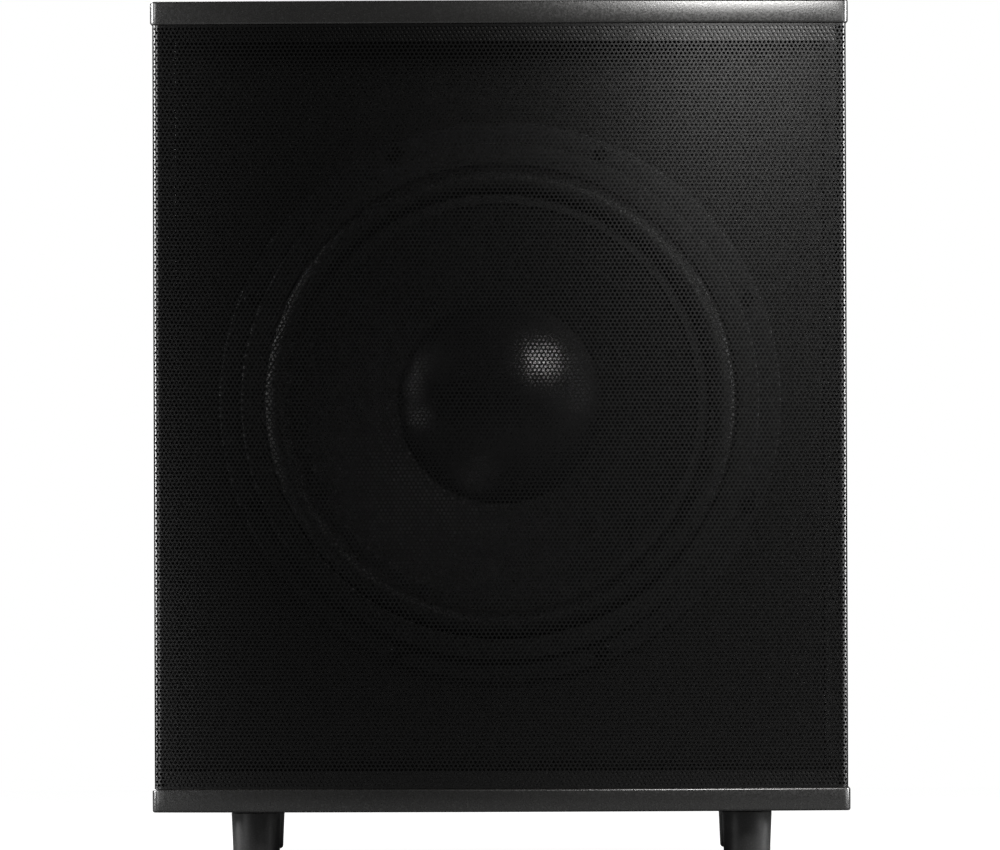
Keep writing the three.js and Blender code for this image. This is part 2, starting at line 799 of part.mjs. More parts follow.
// Circuit board on four stand-offs, with its two reservoir capacitors.
function ampBoard() {
  const left = heatsinkX - boardWidth / 2;
  const low = boardEdge();
  const front = boardFace - boardThickness;
  const board = block(left, left + boardWidth, front, boardFace, low, low + boardHeight);
  const standoffs = [];
  for (const x of [left + standoffInset, left + boardWidth - standoffInset]) {
    for (const z of [low + standoffInset, low + boardHeight - standoffInset]) {
      standoffs.push(rod(standoffRadius, boardFace - 1, ampInside - seat, screwSteps).translate(x, 0, z));
    }
  }
  const capacitorZ = low + boardHeight - capacitorInset;
  const can = () => rod(capacitorRadius, front - capacitorHeight, front + 1, smallSteps);
  const places = [heatsinkX - capacitorX, heatsinkX + capacitorX];
  const capacitors = places.map((x) => can().translate(x, 0, capacitorZ));
  return joined(board, ...standoffs, ...capacitors);
}

function transformer() {
  const back = ampInside - seat;
  const front = back - transformerHeight;
  const middle = transformerRadius - transformerEdge;
  const ring = turned(
    [
      ...arc(middle, front + transformerEdge, transformerEdge, 270, 360, cornerSteps),
      ...arc(middle, back - transformerEdge, transformerEdge, 0, 90, cornerSteps),
      point(transformerBore, back),
      point(transformerBore, front),
    ],
    footSteps,
  );
  return ring.translate(heatsinkX, 0, transformerZ);
}

// Bolt with a wide washer that clamps the transformer to the plate.
function transformerClamp() {
  const washer = ampInside - seat - transformerHeight - seat;
  const bolt = turned(
    [
      point(0, washer - clampWasherThickness - clampHeadHeight),
      point(clampHead, washer - clampWasherThickness - clampHeadHeight),
      point(clampHead, washer - clampWasherThickness),
      point(clampWasher, washer - clampWasherThickness),
      point(clampWasher, washer),
      point(clampRadius, washer),
      point(clampRadius, ampOutside - 1),
      point(0, ampOutside - 1),
    ],
    smallSteps,
  );
  return bolt.translate(heatsinkX, 0, transformerZ);
}

// Potentiometer body with its bushing, on the inside of the plate.
function potBody(x, z) {
  const back = ampInside - seat;
  const can = post(0, 0, potSize, potSize, back - potDepth, back);
  const bushing = rod(bushingRadius, back - 1, ampOutside + knobClearance / 2, smallSteps);
  const bore = rod(shaftRadius + shaftClearance, back - potDepth + 2, ampOutside + 2, smallSteps);
  return cut(joined(can, bushing), bore).translate(x, 0, z);
}

function potShaft(x, z) {
  const front = ampInside - potDepth + 2;
  const end = ampOutside + knobClearance + knobBore - shaftClearance;
  return rod(shaftRadius, front, end, smallSteps).translate(x, 0, z);
}

// Turning knob with a blind bore and a raised pointer.
function knob(x, z) {
  const back = ampOutside + knobClearance;
  const face = back + knobHeight;
  const body = turned(
    [
      point(shaftRadius + shaftClearance, back),
      point(knobRadius, back),
      point(knobRadius - knobTaper, face - knobEdge),
      point(knobRadius - knobTaper - knobEdge, face),
      point(0, face),
      point(0, back + knobBore),
      point(shaftRadius + shaftClearance, back + knobBore),
    ],
    footSteps,
  );
  const pointer = post(0, knobRadius / 2, pointerWidth, knobRadius - 3, face - 1, face + pointerHeight);
  return joined(body, pointer).translate(x, 0, z);
}

// Length of the slot that the phase switch's tab runs in.
function phaseSlot() {
  return phaseTab + phaseTravel + 2 * slideClearance;
}

function phaseSwitch() {
  const back = ampInside - seat;
  const height = phaseTabHeight + 2 * slideClearance;
  const body = post(0, 0, phaseBodyLength, height + 4, back - phaseBodyDepth, back);
  const slot = post(0, 0, phaseSlot(), height, back - phaseBodyDepth + 2, back + 1);
  return cut(body, slot).translate(controlNearX, 0, signalZ);
}

function phaseSlider() {
  const front = ampInside - phaseBodyDepth + 2 + slideClearance;
  const tab = post(-phaseTravel / 2, 0, phaseTab, phaseTabHeight, front, ampOutside + phaseTabReach);
  return tab.translate(controlNearX, 0, signalZ);
}

// Moulded block with two phono sockets.
function lineInputJacks() {
  const back = ampInside - seat;
  const end = ampOutside + jackReach;
  const body = post(0, 0, jackSpacing + jackBlockHeight, jackBlockHeight, back - jackBlockDepth, back);
  const places = [-jackSpacing / 2, jackSpacing / 2];
  const collars = places.map((x) => rod(jackRadius, back - 1, end, smallSteps).translate(x, 0, 0));
  const bores = places.map((x) => rod(jackBore, ampOutside - 1, end + 1, screwSteps).translate(x, 0, 0));
  return cut(joined(body, ...collars), ...bores).translate(controlFarX, 0, signalZ);
}

function inletBody() {
  return { width: inletWidth + 2 * inletWall, height: inletHeight + 2 * inletWall };
}

// Mains socket: a flanged cup with three blades.
function mainsInlet() {
  const face = ampFace + inletBezelThickness;
  const floor = face - inletDepth;
  const { width, height } = inletBody();
  const body = post(0, 0, width, height, floor - inletWall, ampFace + 1);
  const bezel = post(0, 0, width + 2 * inletBezel, height + 2 * inletBezel, ampFace, face);
  const half = inletWidth / 2;
  const top = inletHeight / 2;
  const socket = carried(
    [
      point(-half, -top),
      point(half, -top),
      point(half, top - inletChamfer),
      point(half - inletChamfer, top),
      point(-half + inletChamfer, top),
      point(-half, top - inletChamfer),
    ],
    floor,
    face + 1,
  );
  const blade = (x, z) => post(x, z, pinWidth, pinHeight, floor - 1, floor + pinLength);
  const shell = cut(joined(body, bezel), socket);
  const live = blade(-pinSpacing / 2, -pinOffset);
  const neutral = blade(pinSpacing / 2, -pinOffset);
  const earth = blade(0, pinOffset);
  return joined(shell, live, neutral, earth).translate(controlFarX, 0, mainsZ);
}

function rockerBody() {
  const reach = rockerRadius + slideClearance;
  return { width: rockerWidth + 2 * (slideClearance + rockerWall), height: 2 * (reach + rockerWall) };
}

// Cup with a bezel that the power rocker turns in.
function rockerFrame() {
  const face = ampFace + rockerBezelThickness;
  const pivot = face - rockerPivotDepth;
  const floor = pivot - rockerCup;
  const { width, height } = rockerBody();
  const body = post(0, 0, width, height, floor - rockerWall, ampFace + 1);
  const bezel = post(0, 0, width + 2 * rockerBezel, height + 2 * rockerBezel, ampFace, face);
  const hollow = post(0, 0, width - 2 * rockerWall, height - 2 * rockerWall, floor, face + 1);
  return cut(joined(body, bezel), hollow).translate(controlNearX, 0, mainsZ);
}

// Rocker with round ends about its pivot; it rests with its lower end pressed in.
function powerRocker() {
  const pivot = ampFace + rockerBezelThickness - rockerPivotDepth;
  const section = [
    ...arc(0, 0, rockerRadius, -rockerSkirt, rockerRise, cornerSteps),
    point(0, rockerDish),
    ...arc(0, 0, rockerRadius, 180 - rockerRise, 180 + rockerSkirt, cornerSteps),
  ];
  const shape = new THREE.Shape(section);
  const bar = new THREE.ExtrudeGeometry(shape, { depth: rockerWidth, bevelEnabled: false });
  bar.translate(0, 0, -rockerWidth / 2).rotateY(Math.PI / 2);
  bar.rotateX(-THREE.MathUtils.degToRad(rockerTilt));
  return bar.translate(controlNearX, pivot, mainsZ);
}

function statusLed() {
  const lens = rod(ledRadius, ampInside - ledDepth, ampOutside + ledReach, smallSteps);
  return lens.translate((controlNearX + controlFarX) / 2, 0, knobZ);
}

function amplifier() {
  const group = new THREE.Group();
  group.add(node("rear_chamber", rearChamber(), blackPlastic()));
  group.add(node("amp_plate", ampPlate(), blackAluminium()));
  group.add(node("heatsink", heatsink(), blackAluminium()));
  group.add(node("amp_board", ampBoard(), greenBoard()));
  group.add(node("transformer", transformer(), copperWire()));
  group.add(node("transformer_clamp", transformerClamp(), zincSteel()));
  for (const [name, x] of [
    ["level", controlNearX],
    ["crossover", controlFarX],
  ]) {
    group.add(node(`${name}_pot`, potBody(x, knobZ), zincSteel()));
    group.add(node(`${name}_shaft`, potShaft(x, knobZ), zincSteel()));
    group.add(node(`${name}_knob`, knob(x, knobZ), blackPlastic()));
  }
  group.add(node("phase_switch", phaseSwitch(), zincSteel()));
  group.add(node("phase_slider", phaseSlider(), blackPlastic()));
  group.add(node("line_input_jacks", lineInputJacks(), nickel()));
  group.add(node("mains_inlet", mainsInlet(), blackPlastic()));
  group.add(node("rocker_frame", rockerFrame(), blackPlastic()));
  group.add(node("power_rocker", powerRocker(), redPlastic()));
  group.add(node("status_led", statusLed(), blueLens()));
  group.position.z = ampZ;
  return group;
}

// ---- Feet ----

// Tapered rubber foot, its axis along Y before it is stood up.
function foot() {
  const top = footHeight - seat;
  const bore = footScrewRadius + seat;
  return turned(
    [
      point(footBoreRadius, 0),
      ...arc(footBottomRadius - footEdge, footEdge, footEdge, 270, 360, cornerSteps),
      point(footTopRadius, top),
      point(bore, top),
      point(bore, footBoreDepth),
      point(footBoreRadius, footBoreDepth),
    ],
    footSteps,
  );
}

function footScrew() {
  const head = footBoreDepth - seat;
  const tip = cabinetBase + footScrewGrip;
  return turned(
    [
      point(0, head - footScrewHeadHeight),
      point(footScrewHead, head - footScrewHeadHeight),
      point(footScrewHead, head),
      point(footScrewRadius, head),
      point(footScrewRadius, tip),
      point(0, tip),
    ],
    screwSteps,
  );
}

function feet() {
  const group = new THREE.Group();
  for (const [name, x, y] of footPlaces()) {
    const stand = new THREE.Group();
    stand.add(node(`foot_${name}`, foot(), blackRubber()));
    stand.add(node(`foot_screw_${name}`, footScrew(), zincSteel()));
    stand.rotation.x = Math.PI / 2;
    stand.position.set(x, y, 0);
    group.add(stand);
  }
  return group;
}

const subwoofer = new THREE.Group();
subwoofer.add(cabinet(), grille(), woofer(), amplifier(), feet());
subwoofer.add(node("woofer_lead", wooferLead(), blackPlastic()));

export default subwoofer;
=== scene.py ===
"""Subwoofer with a bowed perforated grille: surfaces, finishes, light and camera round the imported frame."""

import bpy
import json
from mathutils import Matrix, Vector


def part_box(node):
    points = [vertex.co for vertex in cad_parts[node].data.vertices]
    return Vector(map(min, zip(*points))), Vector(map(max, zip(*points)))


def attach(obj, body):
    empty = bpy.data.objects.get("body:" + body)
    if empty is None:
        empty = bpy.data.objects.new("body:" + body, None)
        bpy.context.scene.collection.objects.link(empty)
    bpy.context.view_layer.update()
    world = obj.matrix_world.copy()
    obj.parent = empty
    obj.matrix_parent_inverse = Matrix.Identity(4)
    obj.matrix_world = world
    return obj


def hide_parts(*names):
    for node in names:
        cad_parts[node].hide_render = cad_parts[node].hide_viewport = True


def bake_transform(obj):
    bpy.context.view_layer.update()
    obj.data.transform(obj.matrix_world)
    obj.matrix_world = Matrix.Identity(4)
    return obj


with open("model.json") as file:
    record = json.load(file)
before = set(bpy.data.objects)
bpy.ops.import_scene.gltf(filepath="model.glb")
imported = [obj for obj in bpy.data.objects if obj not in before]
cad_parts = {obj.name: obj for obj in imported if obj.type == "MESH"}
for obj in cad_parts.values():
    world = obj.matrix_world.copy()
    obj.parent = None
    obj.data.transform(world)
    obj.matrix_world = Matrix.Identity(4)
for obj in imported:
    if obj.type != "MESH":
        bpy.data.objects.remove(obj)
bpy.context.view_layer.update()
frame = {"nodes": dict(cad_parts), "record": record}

import json
import math

import bpy
import numpy as np
from bpy.props import FloatProperty, FloatVectorProperty, IntProperty, PointerProperty
from mathutils import Matrix

bl_info = {
    "name": "Subwoofer",
    "version": (1, 0, 0),
    "blender": (4, 5, 0),
    "location": "View3D > Sidebar > Subwoofer",
    "description": "Builds the surfaces and finishes of an active subwoofer",
    "category": "Object",
}

MM = 0.001
RELIEF = 0.15  # share of a finish's grain size that stands up as bump
DUST_COLOUR = (0.23, 0.22, 0.2, 1)
CLOTH_COLOUR = (0.30, 0.17, 0.055)
NICKEL = (0.62, 0.58, 0.5)
COIL_RADIUS = 38.7 * MM
CABINET = "cabinet"
DIAPHRAGM = "diaphragm"

# The woofer's axis runs along Y through this X, Z.
RIM_LOW, RIM_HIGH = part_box("basket")
WOOFER = ((RIM_LOW.x + RIM_HIGH.x) / 2, (RIM_LOW.z + RIM_HIGH.z) / 2)

# The grille's bow, seen from above, is an arc round a point on the Y axis.
SHEET_LOW, SHEET_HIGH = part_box("grille_sheet")
BOW_RADIUS = 821 * MM
BOW_CENTRE = SHEET_LOW.y + BOW_RADIUS
SHEET_THICKNESS = 1.2 * MM
BEND_RADIUS = 5.5 * MM
PLATE_BOW = BOW_RADIUS + 1.5 * MM


# ---- Settings ----


def length(name, description, default, low, high):
    """A length between two limits."""
    return FloatProperty(
        name=name, description=description, default=default, min=low, max=high, precision=5, unit="LENGTH"
    )


def number(name, description, default, low, high):
    """A whole number between two limits."""
    return IntProperty(name=name, description=description, default=default, min=low, max=high)


def tint(name, description, default):
    """A linear colour."""
    return FloatVectorProperty(
        name=name, description=description, subtype="COLOR", size=3, default=default, min=0, max=1
    )


def power(name, description, default):
    """A light's power in watts."""
    return FloatProperty(name=name, description=description, default=default, min=0, unit="POWER")


class GrilleSettings(bpy.types.PropertyGroup):
    pitch: length("Hole pitch", "Distance between the middles of two holes in a row", 3 * MM, 2.5 * MM, 6 * MM)
    hole: length("Hole width", "Width of a hole in the steel", 2 * MM, 1 * MM, 5 * MM)
    strips: number("Strips", "Number of upright strips that the sheet is stored in", 7, 1, 25)


class CabinetSettings(bpy.types.PropertyGroup):
    plate_edge: length("Plate edge", "Radius along the edges of the end panels", 1.5 * MM, 0.2 * MM, 4 * MM)
    plate_corner: length("Plate corner", "Radius of the end panels' upright corners", 6 * MM, 3 * MM, 20 * MM)
    side_edge: length("Side edge", "Radius along the edges of the side panels", 0.8 * MM, 0.1 * MM, 3 * MM)


class WooferSettings(bpy.types.PropertyGroup):
    ribs: number("Cone ribs", "Number of pressed rings in the cone", 4, 0, 12)
    rib_height: length("Rib height", "How far a pressed ring stands out of the cone", 0.9 * MM, 0, 3 * MM)
    spider_waves: number("Spider waves", "Number of corrugations in the spider", 6, 2, 12)


class FinishSettings(bpy.types.PropertyGroup):
    paint: tint("Cabinet paint", "Colour of the textured paint on the panels", (0.0080, 0.0078, 0.0076))
    steel: tint("Grille coating", "Colour of the powder coating on the grille", (0.0015, 0.0015, 0.0015))
    rubber: tint("Foot rubber", "Colour of the feet", (0.0180, 0.0180, 0.0180))


class StudioSettings(bpy.types.PropertyGroup):
    key: power("Key light", "Power of the light at the upper right, which the strips in front follow", 19)
    sides: power("Side lights", "Power of the two walls of light beside the cabinet", 30)
    fill: power("Rear light", "Power of the light behind the cabinet, which the one above it follows", 42)
    room: FloatProperty(
        name="Room light", description="Strength of the even light from all round", default=0.02, min=0
    )
    lens: FloatProperty(
        name="Lens", description="Focal length of the camera", default=1200, min=50, max=1300, unit="CAMERA"
    )


# ---- Shapes ----


def merged(points, quads, grain=1e-7):
    """Joins points that lie together, and turns quads that lost a corner into triangles."""
    keys = np.round(points / grain).astype(np.int64)
    _, first, where = np.unique(keys, axis=0, return_index=True, return_inverse=True)
    quads = where.reshape(-1)[quads]
    same = quads == np.roll(quads, -1, axis=1)
    whole = quads[same.sum(1) == 0]
    short = quads[same.sum(1) == 1]
    short = short[~same[same.sum(1) == 1]].reshape(-1, 3)
    return points[first], [whole, short]


def volume_of(points, faces):
    """Six times the volume that faces close in: each face is a fan of triangles round its first corner."""
    total = 0.0
    for block in faces:
        a = points[block[:, 0]]
        for k in range(1, block.shape[1] - 1):
            total += np.einsum("ij,ij->", a, np.cross(points[block[:, k]], points[block[:, k + 1]]))
    return total


def joined(shells):
    """One list of points and faces from several closed shells, each turned to face outwards."""
    points, faces, start = [], [], 0
    for shell_points, shell_faces in shells:
        turn = volume_of(shell_points, shell_faces) < 0
        for block in shell_faces:
            faces.append((block[:, ::-1] if turn else block) + start)
        points.append(shell_points)
        start += len(shell_points)
    return np.concatenate(points), faces


def mesh_from(name, points, faces, sharp):
    """A mesh from points and blocks of faces with equal corners, smooth except over sharp edges."""
    blocks = [b for b in faces if len(b)]
    mesh = bpy.data.meshes.new(name)
    mesh.vertices.add(len(points))
    mesh.vertices.foreach_set("co", points.astype(np.float32).ravel())
    corners = np.concatenate([b.ravel() for b in blocks]).astype(np.int32)
    counts = np.concatenate([np.full(len(b), b.shape[1]) for b in blocks])
    starts = np.concatenate([[0], np.cumsum(counts)[:-1]]).astype(np.int32)
    mesh.loops.add(len(corners))
    mesh.loops.foreach_set("vertex_index", corners)
    mesh.polygons.add(len(starts))
    mesh.polygons.foreach_set("loop_start", starts)
    mesh.update(calc_edges=True)
    if mesh.validate():
        raise RuntimeError(name + " has faces that can't stand")
    mesh.shade_smooth()
    mesh.set_sharp_from_angle(angle=math.radians(sharp))
    return mesh


def placed(name, mesh):
    """A new object of the scene, at the origin."""
    made = bpy.data.objects.new(name, mesh)
    bpy.context.scene.collection.objects.link(made)
    return made


def piece(name, shells, slot, stands_for=(), sharp=40, body=CABINET, finish=None):
    """Puts closed shells into one object that rides on a body and stands for CAD nodes. Its finish is its slot's
    unless another one is named."""
    points, faces = joined(shells)
    made = placed(name, mesh_from(name, points, faces, sharp))
    made.data.materials.append(finish_of(finish or slot))
    if stands_for:
        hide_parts(*stands_for)
    if body:
        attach(made, body)
    return made


def rounded(outline, radii, steps=5):
    """Rounds each corner of a closed outline. A corner P with tangent points A and B at distance
    r / tan(half the corner's angle) becomes the rational curve
    ((1-s)^2 A + 2 w s (1-s) P + s^2 B) / ((1-s)^2 + 2 w s (1-s) + s^2),
    which is a circle's arc when w is the sine of half the angle."""
    outline = np.asarray(outline, float)
    radii = np.broadcast_to(np.asarray(radii, float), (len(outline),))
    before, after = np.roll(outline, 1, 0) - outline, np.roll(outline, -1, 0) - outline
    long_before, long_after = np.linalg.norm(before, axis=1), np.linalg.norm(after, axis=1)
    before, after = before / long_before[:, None], after / long_after[:, None]
    half = np.arccos(np.clip((before * after).sum(1), -1, 1)) / 2
    reach = np.minimum(radii / np.tan(half), 0.49 * np.minimum(long_before, long_after))
    a, b = outline + before * reach[:, None], outline + after * reach[:, None]
    s = np.linspace(0, 1, steps + 1)[None, :, None]
    w = np.sin(half)[:, None, None]
    top = (1 - s) ** 2 * a[:, None] + 2 * w * s * (1 - s) * outline[:, None] + s**2 * b[:, None]
    return (top / ((1 - s) ** 2 + 2 * w * s * (1 - s) + s**2)).reshape(-1, 2)


def loop_grid(rows, columns):
    """Quads of a grid whose rows and columns both close on themselves."""
    i, j = np.meshgrid(np.arange(rows), np.arange(columns), indexing="ij")
    here, down = i * columns, (i + 1) % rows * columns
    right = (j + 1) % columns
    return np.stack([here + j, here + right, down + right, down + j], -1).reshape(-1, 4)


def tube(rows, columns):
    """Faces of a grid whose columns close and whose two end rows are capped."""
    quads = loop_grid(rows, columns)[: (rows - 1) * columns]
    ends = np.stack([np.arange(columns)[::-1], np.arange(columns) + (rows - 1) * columns])
    return [quads, ends]


def turned(outline, centre, steps=96, axis="Y", shape=None):
    """Turns a closed outline of (radius, along) pairs about an axis through centre: the point at angle t
    is (radius cos t, radius sin t) across the axis. shape(t, row) may scale the radius, for flutes."""
    outline = np.asarray(outline, float)
    t = np.linspace(0, 2 * np.pi, steps, endpoint=False)
    radius = np.broadcast_to(outline[:, :1], (len(outline), steps))
    if shape is not None:
        radius = radius * shape(t[None, :], np.arange(len(outline))[:, None])
    u, v = radius * np.cos(t), radius * np.sin(t)
    along = np.broadcast_to(outline[:, 1:], u.shape)
    if axis == "Y":
        grid = np.stack([centre[0] + u, along, centre[1] + v], -1)
    else:
        grid = np.stack([centre[0] + u, centre[1] + v, along], -1)
    return merged(grid.reshape(-1, 3), loop_grid(*u.shape))


def slab(outline, low, high, edge, place, steps=4):
    """Carries a closed outline straight from low to high with rounded edges: a ring is the outline moved
    inwards by edge (1 - sin a) at a height edge (1 - cos a) from the end, a running from 0 to a right angle.
    place puts (u, v, height) arrays into space."""
    ahead, behind = np.roll(outline, -1, 0), np.roll(outline, 1, 0)
    way = ahead - behind
    way = way / np.linalg.norm(way, axis=1)[:, None]
    area = (outline[:, 0] * ahead[:, 1] - ahead[:, 0] * outline[:, 1]).sum()
    inwards = np.stack([-way[:, 1], way[:, 0]], 1) * np.sign(area)
    a = np.linspace(0, np.pi / 2, steps + 1)
    cap_inset = 1.3 * edge
    inset = np.concatenate([[cap_inset], edge * (1 - np.sin(a))])
    height = np.concatenate([[0], edge * (1 - np.cos(a))])
    inset = np.concatenate([inset, inset[::-1]])
    height = np.concatenate([low + height, high - height[::-1]])
    rings = outline[None] + inwards[None] * inset[:, None, None]
    points = place(rings[..., 0], rings[..., 1], np.broadcast_to(height[:, None], rings.shape[:2]))
    return points.reshape(-1, 3), tube(len(inset), len(outline))


def upright(u, v, height):
    return np.stack([u, v, height], -1)


def from_front(u, v, height):
    return np.stack([u, height, v], -1)


def from_side(u, v, height):
    return np.stack([height, u, v], -1)


def oblong(low, high, radius, steps=4):
    """Closed outline of a rectangle with round corners."""
    corners = [(high[0], low[1]), (high[0], high[1]), (low[0], high[1]), (low[0], low[1])]
    return rounded(corners, radius, steps)


def arc(centre, radius, start, end, steps):
    """Points on a circle's arc between two angles in degrees."""
    t = np.radians(np.linspace(start, end, steps + 1))
    return np.stack([centre[0] + radius * np.cos(t), centre[1] + radius * np.sin(t)], 1)


def bowed_outline(half_width, bow, back, corner, steps=96):
    """Plan of a plate: an arc of radius bow in front, straight sides and back, and corners of one radius.
    A front corner's middle lies at bow - corner from the bow's own middle."""
    x = half_width - corner
    y = BOW_CENTRE - math.sqrt((bow - corner) ** 2 - x * x)
    lean = math.degrees(math.asin(x / (bow - corner)))
    front = arc((0, BOW_CENTRE), bow, 270 - lean, 270 + lean, steps)
    right = arc((x, y), corner, 270 + lean, 360, 8)[1:]
    back_right = arc((x, back - corner), corner, 0, 90, 8)
    back_left = arc((-x, back - corner), corner, 90, 180, 8)
    left = arc((-x, y), corner, 180, 270 - lean, 8)[:-1]
    return np.concatenate([front, right, back_right, back_left, left])


def swept(path, sides, width, thickness, corner):
    """A bar with a rounded rectangular section carried along a path. The section at a point lies across the
    path's direction: width along sides, thickness along the direction's cross product with sides."""
    way = np.gradient(path, axis=0)
    way = way / np.linalg.norm(way, axis=1)[:, None]
    sides = np.broadcast_to(sides, path.shape)
    up = np.cross(way, sides)
    section = oblong((-1, -1), (1, 1), corner, 3)
    w, t = np.broadcast_to(width, len(path)), np.broadcast_to(thickness, len(path))
    across = sides[:, None] * (section[None, :, :1] * w[:, None, None] / 2)
    grid = path[:, None] + across + up[:, None] * (section[None, :, 1:] * t[:, None, None] / 2)
    return grid.reshape(-1, 3), tube(len(path), len(section))


# ---- Finishes ----


def add(tree, kind, inputs=None, **settings):
    """Adds a shader node. An input given a socket is linked to it, and any other value is set on it."""
    made = tree.nodes.new(kind)
    for key, value in settings.items():
        setattr(made, key, value)
    for key, value in (inputs or {}).items():
        if isinstance(value, bpy.types.NodeSocket):
            tree.links.new(value, made.inputs[key])
        else:
            made.inputs[key].default_value = value
    return made


def effect(name, takes, gives):
    """An empty node group with named inputs and outputs, and its two end nodes."""
    tree = bpy.data.node_groups.new(name, "ShaderNodeTree")
    for label, kind, value in takes:
        socket = tree.interface.new_socket(name=label, in_out="INPUT", socket_type=kind)
        if value is not None:
            socket.default_value = value
    for label, kind in gives:
        tree.interface.new_socket(name=label, in_out="OUTPUT", socket_type=kind)
    return tree, tree.nodes.new("NodeGroupInput"), tree.nodes.new("NodeGroupOutput")


def noise(tree, vector, scale, detail=3.0, rough=0.5):
    return add(
        tree, "ShaderNodeTexNoise", {"Vector": vector, "Scale": scale, "Detail": detail, "Roughness": rough}
    ).outputs["Fac"]


def maths(tree, operation, a, b=0.0, clamp=False):
    return add(tree, "ShaderNodeMath", {0: a, 1: b}, operation=operation, use_clamp=clamp).outputs[0]


def spread(tree, value, low, high, to_low, to_high):
    """Stretches low..high of a value over to_low..to_high and clips it there."""
    ends = {"From Min": low, "From Max": high, "To Min": to_low, "To Max": to_high}
    return add(tree, "ShaderNodeMapRange", {"Value": value, **ends}).outputs["Result"]


def make_grain():
    """Fine lumps with a coarser unevenness under them."""
    tree, start, end = effect(
        "grain",
        [
            ("Vector", "NodeSocketVector", None),
            ("Scale", "NodeSocketFloat", 700.0),
            ("Lumps", "NodeSocketFloat", 0.6),
        ],
        [("Height", "NodeSocketFloat"), ("Mask", "NodeSocketFloat")],
    )
    vector, scale = start.outputs["Vector"], start.outputs["Scale"]
    fine = noise(tree, vector, scale, 2.0, 0.6)
    coarse = noise(tree, vector, maths(tree, "MULTIPLY", scale, 0.31), 2.0, 0.5)
    lumps = spread(tree, fine, 0.35, 0.68, 0.0, 1.0)
    mixed = add(tree, "ShaderNodeMix", {0: start.outputs["Lumps"], 2: coarse, 3: lumps})
    tree.links.new(mixed.outputs[0], end.inputs["Height"])
    tree.links.new(spread(tree, fine, 0.52, 0.7, 0.0, 1.0), end.inputs["Mask"])
    return tree


def make_drift():
    """Slow change over a large surface, from handling and uneven coating."""
    tree, start, end = effect(
        "drift",
        [
            ("Vector", "NodeSocketVector", None),
            ("Low", "NodeSocketFloat", 0.8),
            ("High", "NodeSocketFloat", 1.2),
        ],
        [("Factor", "NodeSocketFloat")],
    )
    slow = noise(tree, start.outputs["Vector"], 7.0, 4.0, 0.55)
    factor = spread(tree, slow, 0.3, 0.7, start.outputs["Low"], start.outputs["High"])
    tree.links.new(factor, end.inputs["Factor"])
    return tree


def make_dust():
    """Specks and a thin film of dust on what faces up."""
    tree, start, end = effect(
        "dust",
        [("Vector", "NodeSocketVector", None), ("Amount", "NodeSocketFloat", 0.2)],
        [("Mask", "NodeSocketFloat")],
    )
    facing = add(tree, "ShaderNodeNewGeometry").outputs["Normal"]
    up = add(tree, "ShaderNodeSeparateXYZ", {0: facing}).outputs["Z"]
    level = spread(tree, up, 0.55, 1.0, 0.0, 1.0)
    specks = spread(tree, noise(tree, start.outputs["Vector"], 900.0, 2.0, 0.7), 0.62, 0.72, 0.0, 1.0)
    film = spread(tree, noise(tree, start.outputs["Vector"], 14.0, 5.0, 0.6), 0.4, 0.75, 0.0, 0.35)
    lying = maths(tree, "MULTIPLY", maths(tree, "MAXIMUM", specks, film), level)
    tree.links.new(maths(tree, "MULTIPLY", lying, start.outputs["Amount"]), end.inputs["Mask"])
    return tree


def make_wear():
    """Paler rubbed edges: strong where the surface is most convex, broken up by noise."""
    tree, start, end = effect(
        "edge wear",
        [("Vector", "NodeSocketVector", None), ("Amount", "NodeSocketFloat", 0.5)],
        [("Mask", "NodeSocketFloat")],
    )
    bulge = add(tree, "ShaderNodeNewGeometry").outputs["Pointiness"]
    edge = spread(tree, bulge, 0.52, 0.60, 0.0, 1.0)
    patches = spread(tree, noise(tree, start.outputs["Vector"], 60.0, 5.0, 0.65), 0.5, 0.72, 0.0, 1.0)
    rubbed = maths(tree, "MULTIPLY", edge, patches)
    tree.links.new(maths(tree, "MULTIPLY", rubbed, start.outputs["Amount"]), end.inputs["Mask"])
    return tree


def group(tree, name, inputs):
    return add(tree, "ShaderNodeGroup", inputs, node_tree=bpy.data.node_groups[name]).outputs


def tinted(tree, mask, under, over):
    """Lays one colour over another where a mask is 1."""
    return add(tree, "ShaderNodeMix", {0: mask, 6: under, 7: over}, data_type="RGBA").outputs[2]


